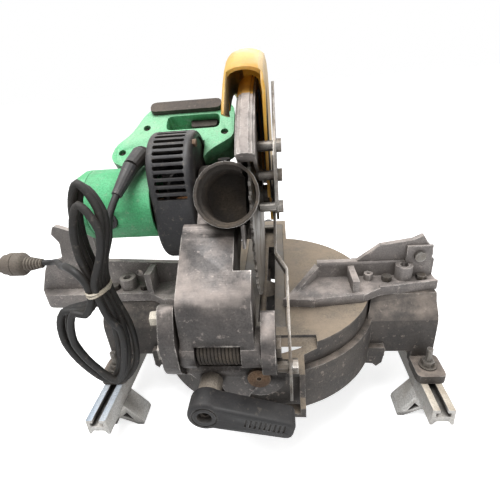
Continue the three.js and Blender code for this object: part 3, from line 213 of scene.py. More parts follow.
# A round bar along an axis, from one station to another; across is its centre on the other two axes.
def bar(name, axis, radius, span, across, sides=48):
    deselectAll()
    middle = sum(span) / 2
    u, v = across
    place = {"x": (middle, u, v), "y": (u, middle, v), "z": (u, v, middle)}[axis]
    bpy.ops.mesh.primitive_cylinder_add(
        vertices=sides, radius=radius, depth=abs(span[1] - span[0]), location=place, rotation=turns[axis]
    )
    return added(name)


def block(name, xs, ys, zs):
    deselectAll()
    middle = [sum(s) / 2 for s in (xs, ys, zs)]
    bpy.ops.mesh.primitive_cube_add(size=1, location=middle)
    bpy.context.active_object.scale = [abs(s[1] - s[0]) for s in (xs, ys, zs)]
    return added(name)


# A flat outline pushed out along an axis. Its points are (y, z), (x, z) or (x, y).
def plate(name, axis, points, span):
    deselectAll()
    bpy.ops.mesh.primitive_circle_add(vertices=len(points), fill_type="NGON")
    o = bpy.context.active_object
    for vertex, (u, v) in zip(o.data.vertices, points):
        vertex.co = {"x": (span[0], u, v), "y": (u, span[0], v), "z": (u, v, span[0])}[axis]
    bpy.ops.object.mode_set(mode="EDIT")
    bpy.ops.mesh.select_all(action="SELECT")
    push = tuple(ways[axis] * (span[1] - span[0]))
    bpy.ops.mesh.extrude_region_move(TRANSFORM_OT_translate={"value": push})
    bpy.ops.mesh.select_all(action="SELECT")
    bpy.ops.mesh.normals_make_consistent(inside=False)
    bpy.ops.object.mode_set(mode="OBJECT")
    return added(name)


# A profile of (radius, station) spun about an axis through a centre.
def spun(name, axis, profile, centre, sides=64):
    deselectAll()
    bpy.ops.mesh.primitive_circle_add(vertices=len(profile), fill_type="NOTHING")
    o = bpy.context.active_object
    along = ways[axis]
    out = ways["y" if axis == "x" else "x"]
    for vertex, (r, h) in zip(o.data.vertices, profile):
        vertex.co = Vector(centre) + out * r + along * h
    bpy.ops.object.mode_set(mode="EDIT")
    bpy.ops.mesh.select_all(action="SELECT")
    bpy.ops.mesh.spin(steps=sides, angle=2 * math.pi, center=centre, axis=along)
    bpy.ops.mesh.select_all(action="SELECT")
    bpy.ops.mesh.remove_doubles(threshold=same["spun"])
    bpy.ops.mesh.delete_loose(use_faces=False)
    bpy.ops.mesh.select_all(action="SELECT")
    bpy.ops.mesh.normals_make_consistent(inside=False)
    bpy.ops.object.mode_set(mode="OBJECT")
    return added(name)


def applied(o, kind, **settings):
    activate(o)
    modifier = o.modifiers.new(kind.lower(), kind)
    for key, value in settings.items():
        setattr(modifier, key, value)
    bpy.ops.object.modifier_apply(modifier=modifier.name)
    return o


def cutAway(body, *tools):
    for tool in tools:
        applied(body, "BOOLEAN", operation="DIFFERENCE", solver="EXACT", object=tool)
        bpy.data.objects.remove(tool)
    return body


def joined(name, *pieces):
    activate(pieces[0])
    for o in pieces:
        o.select_set(True)
    if len(pieces) > 1:
        bpy.ops.object.join()
    pieces[0].name = name
    return pieces[0]


def rounded(o, width, segments=2, angle=30):
    limit = math.radians(angle)
    return applied(
        o, "BEVEL", width=width, segments=segments,
        limit_method="ANGLE", angle_limit=limit, harden_normals=True,
    )


def smoothed(o, angle=usualAngle):
    activate(o)
    bpy.ops.object.shade_smooth_by_angle(angle=math.radians(angle))
    return o


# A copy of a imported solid, with its flat faces whole again, to be finished by hand.
def copyOf(node, name):
    o = frame["nodes"][node].copy()
    o.data = o.data.copy()
    for key in list(o.keys()):
        del o[key]
    bpy.context.scene.collection.objects.link(o)
    o.parent = None
    o.matrix_world = Matrix.Identity(4)
    o.hide_render = False
    o.name = name
    o.data.materials.clear()
    activate(o)
    bpy.ops.object.mode_set(mode="EDIT")
    bpy.ops.mesh.select_all(action="SELECT")
    bpy.ops.mesh.remove_doubles(threshold=same["corner"])
    bpy.ops.mesh.dissolve_limited(angle_limit=math.radians(same["flat"]))
    bpy.ops.object.mode_set(mode="OBJECT")
    return o


# Splits the flats of a round upright face and pushes the new corners out to its radius. The middle of
# a flat lies at least sag times the radius from the axis.
def trueRound(o, radius, axis, cuts=3, sag=0.97):
    mesh = o.data
    activate(o)
    reaches = [math.hypot(v.co.x - axis.x, v.co.y - axis.y) for v in mesh.vertices]
    near = [abs(reach - radius) < same["radius"] for reach in reaches]
    for group in (mesh.vertices, mesh.polygons):
        group.foreach_set("select", [False] * len(group))
    count = 0
    for edge in mesh.edges:
        a, b = edge.vertices
        flat = abs(mesh.vertices[a].co.z - mesh.vertices[b].co.z) < same["corner"]
        edge.select = near[a] and near[b] and flat
        count += edge.select
    if not count:
        return o
    bpy.ops.object.mode_set(mode="EDIT")
    bpy.ops.mesh.select_mode(type="EDGE")
    bpy.ops.mesh.subdivide(number_cuts=cuts)
    bpy.ops.mesh.select_mode(type="VERT")
    bpy.ops.object.mode_set(mode="OBJECT")
    for vertex in o.data.vertices:
        if vertex.select:
            u, v = vertex.co.x - axis.x, vertex.co.y - axis.y
            reach = math.hypot(u, v)
            if sag * radius < reach < radius:
                vertex.co.x = axis.x + u * radius / reach
                vertex.co.y = axis.y + v * radius / reach
    return o


def finished(o, body, paint, nodes=(), angle=usualAngle):
    smoothed(o, angle)
    o.data.materials.clear()
    o.data.materials.append(paint)
    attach(o, body)
    if nodes:
        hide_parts(*nodes)
    return o


# ---- shared effects
def node(tree, kind, **settings):
    n = tree.nodes.new(kind)
    for key, value in settings.items():
        setattr(n, key, value)
    return n


def effect(name, inputs, outputs):
    tree = bpy.data.node_groups.new(name, "ShaderNodeTree")
    for title, kind, value in inputs:
        socket = tree.interface.new_socket(title, in_out="INPUT", socket_type=kind)
        socket.default_value = value
    for title, kind in outputs:
        tree.interface.new_socket(title, in_out="OUTPUT", socket_type=kind)
    return tree, node(tree, "NodeGroupInput"), node(tree, "NodeGroupOutput")


def noise(tree, place, scale, detail=4, roughness=0.55):
    n = node(tree, "ShaderNodeTexNoise")
    n.inputs["Detail"].default_value = detail
    n.inputs["Roughness"].default_value = roughness
    tree.links.new(place, n.inputs["Vector"])
    if hasattr(scale, "is_linked"):
        tree.links.new(scale, n.inputs["Scale"])
    else:
        n.inputs["Scale"].default_value = scale
    return n.outputs["Fac"]


def sharpened(tree, value, low, high):
    n = node(tree, "ShaderNodeMapRange", interpolation_type="SMOOTHSTEP")
    tree.links.new(value, n.inputs["Value"])
    for title, edge in (("From Min", low), ("From Max", high)):
        if hasattr(edge, "is_linked"):
            tree.links.new(edge, n.inputs[title])
        else:
            n.inputs[title].default_value = edge
    return n.outputs["Result"]


def calculated(tree, operation, a, b):
    n = node(tree, "ShaderNodeMath", operation=operation, use_clamp=operation != "SUBTRACT")
    for socket, value in zip(n.inputs, (a, b)):
        if hasattr(value, "is_linked"):
            tree.links.new(value, socket)
        else:
            socket.default_value = value
    return n.outputs[0]


def mixed(tree, fac, a, b):
    n = node(tree, "ShaderNodeMix", data_type="RGBA")
    for title, value in (("Factor", fac), ("A", a), ("B", b)):
        sockets = [s for s in n.inputs if s.name == title and s.enabled]
        if hasattr(value, "is_linked"):
            tree.links.new(value, sockets[0])
        elif title == "Factor":
            sockets[0].default_value = value
        else:
            sockets[0].default_value = (*value, 1)
    return [s for s in n.outputs if s.enabled][0]


# bare edges where paint has rubbed off
edgeWear = {"turned": (0.015, 0.14), "scale": 90, "detail": 5, "broken": (0.42, 0.62)}


def makeEdgeWear():
    tree, given, out = effect(
        "edge wear",
        [
            ("Radius", "NodeSocketFloat", 0.0015),
            ("Amount", "NodeSocketFloat", 1.0),
            ("Place", "NodeSocketVector", (0, 0, 0)),
        ],
        [("Mask", "NodeSocketFloat")],
    )
    soft = node(tree, "ShaderNodeBevel", samples=4)
    tree.links.new(given.outputs["Radius"], soft.inputs["Radius"])
    true = node(tree, "ShaderNodeNewGeometry")
    dot = node(tree, "ShaderNodeVectorMath", operation="DOT_PRODUCT")
    tree.links.new(soft.outputs["Normal"], dot.inputs[0])
    tree.links.new(true.outputs["Normal"], dot.inputs[1])
    edge = calculated(tree, "SUBTRACT", 1.0, dot.outputs["Value"])
    broken = noise(tree, given.outputs["Place"], edgeWear["scale"], edgeWear["detail"])
    turned = sharpened(tree, edge, *edgeWear["turned"])
    rubbed = calculated(tree, "MULTIPLY", turned, sharpened(tree, broken, *edgeWear["broken"]))
    tree.links.new(calculated(tree, "MULTIPLY", rubbed, given.outputs["Amount"]), out.inputs["Mask"])
    return tree


# dust that lies in patches on what faces up, and thinly elsewhere
dustFall = {"up": (0.1, 0.95), "detail": 6, "rough": 0.65, "patches": (0.32, 0.72), "top": 0.95, "thin": 0.1}


def makeDust():
    tree, given, out = effect(
        "dust",
        [
            ("Amount", "NodeSocketFloat", 0.5),
            ("Scale", "NodeSocketFloat", 18.0),
            ("Place", "NodeSocketVector", (0, 0, 0)),
            ("Facing", "NodeSocketVector", (0, 0, 1)),
        ],
        [("Mask", "NodeSocketFloat")],
    )
    split = node(tree, "ShaderNodeSeparateXYZ")
    tree.links.new(given.outputs["Facing"], split.inputs[0])
    lying = sharpened(tree, split.outputs["Z"], *dustFall["up"])
    place, scale = given.outputs["Place"], given.outputs["Scale"]
    clouds = noise(tree, place, scale, dustFall["detail"], dustFall["rough"])
    patches = sharpened(tree, clouds, *dustFall["patches"])
    top = calculated(tree, "MULTIPLY", lying, dustFall["top"])
    share = calculated(tree, "ADD", top, dustFall["thin"])
    upper = calculated(tree, "MULTIPLY", share, patches)
    tree.links.new(calculated(tree, "MULTIPLY", upper, given.outputs["Amount"]), out.inputs["Mask"])
    return tree


# blotches of another colour
blotchEdge = {"detail": 6, "rough": 0.62, "none": 0.75, "drop": 0.5, "fade": 0.12}


def makeBlotches():
    tree, given, out = effect(
        "blotches",
        [
            ("Scale", "NodeSocketFloat", 30.0),
            ("Share", "NodeSocketFloat", 0.5),
            ("Place", "NodeSocketVector", (0, 0, 0)),
        ],
        [("Mask", "NodeSocketFloat")],
    )
    place, scale = given.outputs["Place"], given.outputs["Scale"]
    field = noise(tree, place, scale, blotchEdge["detail"], blotchEdge["rough"])
    drop = calculated(tree, "MULTIPLY", given.outputs["Share"], blotchEdge["drop"])
    low = calculated(tree, "SUBTRACT", blotchEdge["none"], drop)
    high = calculated(tree, "ADD", low, blotchEdge["fade"])
    tree.links.new(sharpened(tree, field, low, high), out.inputs["Mask"])
    return tree


# the height of a cast or moulded skin, with long scratches in it
scratches = {
    "stretch": (1, 14, 14), "slant": (0.3, 0.5, 0.9), "scale": 45, "detail": 3, "line": (0.56, 0.62),
}


def makeSkin():
    tree, given, out = effect(
        "skin",
        [
            ("Scale", "NodeSocketFloat", 400.0),
            ("Scratches", "NodeSocketFloat", 0.3),
            ("Place", "NodeSocketVector", (0, 0, 0)),
        ],
        [("Height", "NodeSocketFloat")],
    )
    pebbles = noise(tree, given.outputs["Place"], given.outputs["Scale"], detail=3, roughness=0.5)
    stretch = node(tree, "ShaderNodeMapping")
    stretch.inputs["Scale"].default_value = scratches["stretch"]
    stretch.inputs["Rotation"].default_value = scratches["slant"]
    tree.links.new(given.outputs["Place"], stretch.inputs["Vector"])
    streaks = noise(tree, stretch.outputs["Vector"], scratches["scale"], scratches["detail"])
    lines = sharpened(tree, streaks, *scratches["line"])
    cuts = calculated(tree, "MULTIPLY", lines, given.outputs["Scratches"])
    tree.links.new(calculated(tree, "SUBTRACT", pebbles, cuts), out.inputs["Height"])
    return tree


# painted shade, with some dirt, where surfaces crowd each other: ambient occlusion darkens the colour there
crowding = {"scale": 55, "detail": 5, "least": 0.35, "shadeAndDirt": (0.12, 0.55)}


def makeShadeAndGrime():
    tree, given, out = effect(
        "shadeAndGrime",
        [("Reach", "NodeSocketFloat", 0.02), ("Place", "NodeSocketVector", (0, 0, 0))],
        [("Mask", "NodeSocketFloat")],
    )
    crowd = node(tree, "ShaderNodeAmbientOcclusion", samples=4)
    tree.links.new(given.outputs["Reach"], crowd.inputs["Distance"])
    closed = calculated(tree, "SUBTRACT", 1.0, crowd.outputs["AO"])
    field = noise(tree, given.outputs["Place"], crowding["scale"], crowding["detail"])
    ragged = calculated(tree, "ADD", field, crowding["least"])
    shadeAndDirt = calculated(tree, "MULTIPLY", closed, ragged)
    tree.links.new(sharpened(tree, shadeAndDirt, *crowding["shadeAndDirt"]), out.inputs["Mask"])
    return tree


effects = {
    "wear": makeEdgeWear(),
    "dust": makeDust(),
    "blotches": makeBlotches(),
    "skin": makeSkin(),
    "shadeAndGrime": makeShadeAndGrime(),
}


def placed(tree, name, **values):
    n = node(tree, "ShaderNodeGroup")
    n.node_tree = effects[name]
    for title, value in values.items():
        socket = n.inputs[title]
        if hasattr(value, "is_linked"):
            tree.links.new(value, socket)
        else:
            socket.default_value = value
    return n.outputs[0]


# ---- finishes, one dictionary each
finishes = {
    # a finish's own crevice colour is painted shade with some dirt
    "castWorn": {
        "color": (0.17, 0.155, 0.148), "second": (0.25, 0.228, 0.215), "roughness": 0.55, "metallic": 0.2,
        "dust": 0.95, "dustColor": (0.54, 0.47, 0.43), "wear": 1.0, "wearColor": (0.66, 0.62, 0.58),
        "skin": 520, "scratches": 0.4, "bump": 0.3, "shadeAndGrime": (0.12, 0.105, 0.095),
    },
    "castDark": {
        "color": (0.048, 0.044, 0.042), "second": (0.085, 0.076, 0.069), "roughness": 0.58, "metallic": 0.25,
        "dust": 0.95, "dustColor": (0.39, 0.325, 0.275), "wear": 0.8, "wearColor": (0.42, 0.39, 0.36),
        "skin": 520, "scratches": 0.35, "bump": 0.25,
    },
    "castGrey": {
        "color": (0.072, 0.066, 0.064), "second": (0.118, 0.108, 0.102), "roughness": 0.38, "metallic": 0.5,
        "dust": 0.8, "dustColor": (0.43, 0.37, 0.335), "wear": 1.0, "wearColor": (0.60, 0.56, 0.52),
        "skin": 420, "scratches": 0.5, "bump": 0.22,
    },
    "tableTan": {
        "color": (0.235, 0.195, 0.152), "second": (0.30, 0.25, 0.19), "roughness": 0.7, "metallic": 0.2,
        "dust": 0.8, "dustColor": (0.40, 0.32, 0.24), "wear": 0.4, "wearColor": (0.45, 0.42, 0.38),
        "skin": 620, "scratches": 0.5, "bump": 0.3,
    },
    "insert": {
        "color": (0.13, 0.115, 0.10), "second": (0.17, 0.15, 0.125), "roughness": 0.6, "metallic": 0.1,
        "dust": 0.5, "dustColor": (0.28, 0.23, 0.17), "wear": 0.4, "wearColor": (0.3, 0.28, 0.25),
        "skin": 500, "scratches": 0.6, "bump": 0.25,
    },
    "aluminium": {
        "color": (0.56, 0.54, 0.51), "second": (0.66, 0.65, 0.63), "roughness": 0.42, "metallic": 0.7,
        "dust": 0.35, "dustColor": (0.42, 0.36, 0.29), "wear": 0.5, "wearColor": (0.8, 0.79, 0.77),
        "skin": 260, "scratches": 0.5, "bump": 0.12,
    },
    "steel": {
        "color": (0.27, 0.255, 0.235), "second": (0.17, 0.145, 0.12), "roughness": 0.42, "metallic": 0.8,
        "dust": 0.4, "dustColor": (0.20, 0.145, 0.10), "wear": 0.6, "wearColor": (0.6, 0.58, 0.55),
        "skin": 380, "scratches": 0.7, "bump": 0.12,
    },
    "rust": {
        "color": (0.17, 0.108, 0.070), "second": (0.27, 0.17, 0.105), "roughness": 0.78, "metallic": 0.3,
        "dust": 0.5, "dustColor": (0.34, 0.25, 0.17), "wear": 0.6, "wearColor": (0.45, 0.38, 0.3),
        "skin": 700, "scratches": 0.2, "bump": 0.5,
    },
    "green": {
        "color": (0.075, 0.42, 0.175), "second": (0.115, 0.49, 0.23), "roughness": 0.42, "metallic": 0.0,
        "dust": 0.16, "dustColor": (0.36, 0.48, 0.33), "wear": 0.25, "wearColor": (0.42, 0.68, 0.46),
        "skin": 900, "scratches": 0.25, "bump": 0.08, "shadeAndGrime": (0.035, 0.085, 0.035),
    },
    "greenPale": {
        "color": (0.13, 0.50, 0.24), "second": (0.20, 0.56, 0.31), "roughness": 0.45, "metallic": 0.0,
        "dust": 0.4, "dustColor": (0.42, 0.56, 0.40), "wear": 0.5, "wearColor": (0.45, 0.72, 0.50),
        "skin": 900, "scratches": 0.3, "bump": 0.08, "shadeAndGrime": (0.035, 0.085, 0.035),
    },
    "darkSteel": {
        "color": (0.115, 0.108, 0.102), "second": (0.07, 0.06, 0.052), "roughness": 0.38, "metallic": 0.8,
        "dust": 0.3, "dustColor": (0.15, 0.12, 0.09), "wear": 0.5, "wearColor": (0.35, 0.33, 0.31),
        "skin": 380, "scratches": 0.5, "bump": 0.15,
    },
    # near black: the spring's own colour, and painted shade with some dirt in the port's bore
    "sootAndShade": {
        "color": (0.040, 0.033, 0.028), "second": (0.085, 0.068, 0.052), "roughness": 0.8, "metallic": 0.1,
        "dust": 0.35, "dustColor": (0.17, 0.13, 0.095), "wear": 0.2, "wearColor": (0.2, 0.18, 0.16),
        "skin": 300, "scratches": 0.3, "bump": 0.5,
    },
    "spacer": {
        "color": (0.24, 0.205, 0.17), "second": (0.32, 0.28, 0.23), "roughness": 0.6, "metallic": 0.3,
        "dust": 0.5, "dustColor": (0.36, 0.30, 0.23), "wear": 0.5, "wearColor": (0.5, 0.47, 0.43),
        "skin": 500, "scratches": 0.3, "bump": 0.25,
    },
    "railTop": {
        "color": (0.62, 0.56, 0.47), "second": (0.50, 0.43, 0.34), "roughness": 0.5, "metallic": 0.25,
        "dust": 0.5, "dustColor": (0.34, 0.28, 0.21), "wear": 0.5, "wearColor": (0.75, 0.73, 0.70),
        "skin": 260, "scratches": 0.6, "bump": 0.15,
    },
    # bluish grey for the left rail's top: a painted reflection
    "railReflection": {
        "color": (0.36, 0.44, 0.54), "second": (0.52, 0.57, 0.63), "roughness": 0.4, "metallic": 0.35,
        "dust": 0.35, "dustColor": (0.42, 0.40, 0.36), "wear": 0.5, "wearColor": (0.72, 0.73, 0.74),
        "skin": 260, "scratches": 0.7, "bump": 0.12,
    },
    "guardTan": {
        "color": (0.56, 0.38, 0.15), "second": (0.70, 0.52, 0.26), "roughness": 0.42, "metallic": 0.0,
        "dust": 0.6, "dustColor": (0.56, 0.42, 0.25), "wear": 0.4, "wearColor": (0.70, 0.58, 0.38),
        "skin": 300, "scratches": 0.9, "bump": 0.12,
    },
    "black": {
        "color": (0.022, 0.022, 0.025), "second": (0.035, 0.034, 0.036), "roughness": 0.5, "metallic": 0.0,
        "dust": 0.25, "dustColor": (0.20, 0.17, 0.14), "wear": 0.5, "wearColor": (0.16, 0.155, 0.15),
        "skin": 700, "scratches": 0.4, "bump": 0.18,
    },
    "leverBlack": {
        "color": (0.011, 0.011, 0.012), "second": (0.018, 0.017, 0.018), "roughness": 0.5, "metallic": 0.0,
        "dust": 0.1, "dustColor": (0.11, 0.095, 0.08), "wear": 0.6, "wearColor": (0.16, 0.155, 0.15),
        "skin": 700, "scratches": 0.5, "bump": 0.18,
    },
    "rubber": {
        "color": (0.060, 0.048, 0.042), "second": (0.10, 0.082, 0.07), "roughness": 0.78, "metallic": 0.0,
        "dust": 0.25, "dustColor": (0.24, 0.20, 0.16), "wear": 0.5, "wearColor": (0.22, 0.19, 0.16),
        "skin": 500, "scratches": 0.2, "bump": 0.5,
    },
    "cord": {
        "color": (0.010, 0.0095, 0.0095), "second": (0.02, 0.018, 0.016), "roughness": 0.58, "metallic": 0.0,
        "dust": 0.06, "dustColor": (0.12, 0.10, 0.085), "wear": 0.0, "wearColor": (0.2, 0.2, 0.2),
        "skin": 500, "scratches": 0.2, "bump": 0.12,
    },
    "plug": {
        "color": (0.125, 0.102, 0.083), "second": (0.19, 0.16, 0.13), "roughness": 0.65, "metallic": 0.0,
        "dust": 0.5, "dustColor": (0.22, 0.19, 0.15), "wear": 0.4, "wearColor": (0.25, 0.22, 0.18),
        "skin": 500, "scratches": 0.2, "bump": 0.2,
    },
    "amber": {
        "color": (0.80, 0.42, 0.04), "second": (0.88, 0.54, 0.09), "roughness": 0.34, "metallic": 0.0,
        "dust": 0.35, "dustColor": (0.66, 0.46, 0.19), "wear": 0.4, "wearColor": (0.74, 0.54, 0.22),
        "skin": 300, "scratches": 0.8, "bump": 0.1, "shadeAndGrime": (0.62, 0.31, 0.035), "grain": 0.2,
        "clear": 0.35,
    },
    "amberShade": {
        "color": (0.42, 0.22, 0.035), "second": (0.55, 0.32, 0.06), "roughness": 0.5, "metallic": 0.0,
        "dust": 0.4, "dustColor": (0.52, 0.34, 0.12), "wear": 0.3, "wearColor": (0.6, 0.42, 0.18),
        "skin": 300, "scratches": 0.8, "bump": 0.2, "shadeAndGrime": (0.34, 0.17, 0.02), "grain": 0.3,
    },
    "cream": {
        "color": (0.66, 0.60, 0.50), "second": (0.56, 0.49, 0.38), "roughness": 0.55, "metallic": 0.0,
        "dust": 0.4, "dustColor": (0.45, 0.38, 0.28), "wear": 0.4, "wearColor": (0.35, 0.30, 0.24),
        "skin": 500, "scratches": 0.3, "bump": 0.2,
    },
    "copper": {
        "color": (0.36, 0.17, 0.07), "second": (0.25, 0.12, 0.06), "roughness": 0.45, "metallic": 0.8,
        "dust": 0.3, "dustColor": (0.2, 0.15, 0.1), "wear": 0.4, "wearColor": (0.6, 0.4, 0.25),
        "skin": 300, "scratches": 0.3, "bump": 0.2,
    },
}


# what the finishes share: how fine each pattern is, how far it reaches and how much it shows
pattern = {
    "blotchScale": 22.0, "blotchShare": 0.55, "speckScale": 160.0, "speckShare": 0.35, "speck": 0.5,
    "dustScale": 26.0, "grainScale": 560, "grainDetail": 3, "grainRough": 0.7,
    "grainRange": (0.40, 0.66), "grain": 0.55, "grainDark": 0.45, "edge": 0.0022,
    "crevice": 0.022, "shadeAndGrime": 0.85, "shadeAndGrimeColor": (0.030, 0.024, 0.019),
    "dustDull": 0.35, "blotchDull": 0.12, "relief": 0.0006,
}


def makeFinish(name):
    f = finishes[name]
    p = pattern
    paint = bpy.data.materials.new(name)
    paint.use_nodes = True
    tree = paint.node_tree
    shader = tree.nodes["Principled BSDF"]
    at = node(tree, "ShaderNodeTexCoord")
    place, facing = at.outputs["Object"], at.outputs["Normal"]
    blotch = placed(tree, "blotches", Scale=p["blotchScale"], Share=p["blotchShare"], Place=place)
    speck = placed(tree, "blotches", Scale=p["speckScale"], Share=p["speckShare"], Place=place)
    dust = placed(tree, "dust", Amount=f["dust"], Scale=p["dustScale"], Place=place, Facing=facing)
    wear = placed(tree, "wear", Radius=p["edge"], Amount=f["wear"], Place=place)
    height = placed(tree, "skin", Scale=float(f["skin"]), Scratches=f["scratches"], Place=place)
    color = mixed(tree, blotch, f["color"], f["second"])
    color = mixed(tree, calculated(tree, "MULTIPLY", speck, p["speck"]), color, f["dustColor"])
    fine = noise(tree, place, p["grainScale"], p["grainDetail"], p["grainRough"])
    grain = sharpened(tree, fine, *p["grainRange"])
    dark = tuple(c * p["grainDark"] for c in f["color"])
    color = mixed(tree, calculated(tree, "MULTIPLY", grain, f.get("grain", p["grain"])), color, dark)
    color = mixed(tree, dust, color, f["dustColor"])
    color = mixed(tree, wear, color, f["wearColor"])
    # painted shade with some dirt: the colour darkens in crevices that ambient occlusion finds
    shadeAndGrime = placed(tree, "shadeAndGrime", Reach=p["crevice"], Place=place)
    shadeAndDirt = calculated(tree, "MULTIPLY", shadeAndGrime, p["shadeAndGrime"])
    color = mixed(tree, shadeAndDirt, color, f.get("shadeAndGrime", p["shadeAndGrimeColor"]))
    tree.links.new(color, shader.inputs["Base Color"])
    dulled = calculated(tree, "MULTIPLY", dust, p["dustDull"])
    patchy = calculated(tree, "MULTIPLY", blotch, p["blotchDull"])
    rough = calculated(tree, "ADD", calculated(tree, "ADD", dulled, patchy), f["roughness"])
    tree.links.new(rough, shader.inputs["Roughness"])
    shader.inputs["Metallic"].default_value = f["metallic"]
    shader.inputs["Transmission Weight"].default_value = f.get("clear", 0.0)
    bump = node(tree, "ShaderNodeBump")
    bump.inputs["Strength"].default_value = f["bump"]
    bump.inputs["Distance"].default_value = p["relief"]
    tree.links.new(height, bump.inputs["Height"])
    tree.links.new(bump.outputs["Normal"], shader.inputs["Normal"])
    return paint


material = {name: makeFinish(name) for name in finishes}
print("finishes made")


# ---- the cord, its tie and its plug
# A round strand laid through a list of points.
def strand(name, points, radius, resolution=3):
    curve = bpy.data.curves.new(name, "CURVE")
    curve.dimensions = "3D"
    curve.bevel_depth = radius
    curve.bevel_resolution = resolution
    curve.use_fill_caps = True
    spline = curve.splines.new("POLY")
    spline.points.add(len(points) - 1)
    for point, at in zip(spline.points, points):
        point.co = (*at, 1)
    o = bpy.data.objects.new(name, curve)
    bpy.context.scene.collection.objects.link(o)
    return o


def makeCord():
    route = cordRoute
    # the route's first points lie hidden inside the boot
    points = route["boot"][route["hidden"]:] + route["lead"] + hankPoints(route) + route["tail"]
    path = [fromSaw(*p) for p in smoothPath(points, route["steps"])]
    length = sum((b - a).length for a, b in zip(path, path[1:]))
    o = strand("mains_cord", path, route["diameter"] / 2 * mm, resolution=4)
    o.data.materials.append(material["cord"])
    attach(o, "head")
    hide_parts("cord")
    print("cord length", round(length, 3))
    return o, path[0], length


def wound(name, points, radius, finish, body, nodes):
    activate(strand(name, points, radius))
    bpy.ops.object.convert(target="MESH")
    return finished(bpy.context.active_object, body, material[finish], nodes)


# ---- tie round the hank: a few turns of string
tieShape = {
    "turns": 5, "string": 1.1, "steps": 40, "spread": 1.7, "squeeze": 0.8,
    "sway": 1.1, "swayRate": 1.37, "loose": 0.04, "looseRate": 0.61,
}


def makeTie():
    f = tieShape
    low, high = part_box("cord_tie")
    middle = (Vector(low) + Vector(high)) / 2
    half = (Vector(high) - Vector(low)) / 2
    body = frame["nodes"]["cord_tie"]["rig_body"]
    string = f["string"] * mm
    points = []
    count = f["turns"] * f["steps"]
    for i in range(count + 1):
        a = i / f["steps"] * 2 * math.pi
        rise = (i / count - 0.5) * f["spread"] * half.z + f["sway"] * mm * math.sin(a * f["swayRate"])
        reach = 1 - f["loose"] * math.sin(a * f["looseRate"])
        points.append((
            middle.x + (half.x - string) * reach * math.cos(a),
            middle.y + (half.y - string) * reach * math.sin(a),
            middle.z + rise * f["squeeze"],
        ))
    return wound("tie_string", points, string, "cream", body, ["cord_tie"])


# ---- plug: ribbed neck, round body and three blades
plugShape = {
    "at": (-298, -32, 223), "entry": 5.2, "ribs": 6, "pitch": 3.9, "neck": 6.4, "groove": 1.3,
    "swell": 0.75, "body": 16.2, "thick": 2, "wide": 7, "pins": (-72, -55), "apart": 7,
    "earth": -12, "lift": 2.5, "splay": 0.5, "pinEdge": 0.4,
}


def makePlug():
    f = plugShape
    profile = [(0, -0.4), (f["entry"], -0.4)]
    for i in range(f["ribs"]):
        at, r = -1.4 - i * f["pitch"], f["neck"] + i * f["swell"]
        low = r - f["groove"]
        profile += [(low, at), (r, at - 0.5), (r, at - 2.5), (low, at - 3)]
    body = f["body"]
    profile += [(10, -25), (body - 2.4, -26.5), (body, -30)]
    profile += [(body, -38), (body - 1.2, -39), (body, -40), (body, -47)]
    profile += [(body - 2.2, -51), (body - 2.2, -55), (body - 3.4, -56.2), (0, -56.2)]
    plug = spun("plug_body", "x", [(r * mm, x * mm) for r, x in profile], (0, 0, 0), 40)
    wide = f["wide"]
    along = tuple(x * mm for x in f["pins"])
    thick = (-f["thick"] / 2 * mm, f["thick"] / 2 * mm)
    pins = [block("pin", along, thick, (f["earth"] * mm, (wide + f["earth"]) * mm))]
    for side in (-1, 1):
        pin = block("pin", along, thick, (-wide / 2 * mm, wide / 2 * mm))
        turn = Matrix.Rotation(side * f["splay"], 4, "X")
        pin.data.transform(Matrix.Translation((0, side * f["apart"] * mm, f["lift"] * mm)) @ turn)
        pins.append(pin)
    pins = rounded(joined("plug_pins", *pins), f["pinEdge"] * mm)
    for o in (plug, pins):
        o.data.transform(Matrix.Translation(fromSaw(*f["at"])))
    finished(plug, "head", material["plug"], ["plug"])
    return plug, finished(pins, "head", material["steel"])


cordPiece, cordExit, cordLength = makeCord()
tieString = makeTie()
plugBody, plugPins = makePlug()
print("cord laid")


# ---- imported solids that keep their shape, with softened edges
# radii round the mitre axis that are made truly round
roundFaces = {"base_casting": (153, 141, 148), "turntable": (145, 137)}
# the wide shallow slopes of these two stay faceted
shadeAngle = {"base_casting": 18, "extension_wing": 18}
dressed = {
    # node: finish, slot, edge radius in millimetres
    "base_casting": ("castDark", "cast_dark", 1.6),
    "mitre_scale": ("castDark", "cast_dark", 0.6),
    "extension_wing": ("castWorn", "cast_dark", 1.4),
    "right_fence": ("castWorn", "cast_dark", 0.9),
    "left_fence": ("castWorn", "cast_dark", 0.9),
    "sub_fence": ("castWorn", "cast_dark", 0.8),
    "turntable": ("tableTan", "table_tan", 1.0),
    "kerf_insert": ("insert", "black_plastic", 0.4),
    "rail_left": ("aluminium", "rail_aluminium", 0.5),
    "rail_right": ("aluminium", "rail_aluminium", 0.5),
    "saddles_left": ("aluminium", "rail_aluminium", 0.8),
    "saddles_right": ("aluminium", "rail_aluminium", 0.8),
    "bevel_bracket": ("castGrey", "cast_grey", 1.2),
    "head_arm": ("castGrey", "cast_grey", 2.5),
    "blade_case": ("castWorn", "cast_grey", 1.2),
    "gear_case": ("castGrey", "cast_grey", 2.0),
    "dust_port": ("castGrey", "cast_grey", 0.6),
    "motor_housing": ("green", "green_plastic", 1.0),
    "motor_end_cover": ("green", "green_plastic", 1.0),
    "handle_upper_shell": ("greenPale", "green_plastic", 3.0),
    "handle_lower_shell": ("greenPale", "green_plastic", 3.0),
    "lower_guard": ("amber", "amber_plastic", 0.8),
    "guard_link": ("steel", "steel", 0.4),
    "side_cover_plate": ("steel", "rail_aluminium", 0.4),
}


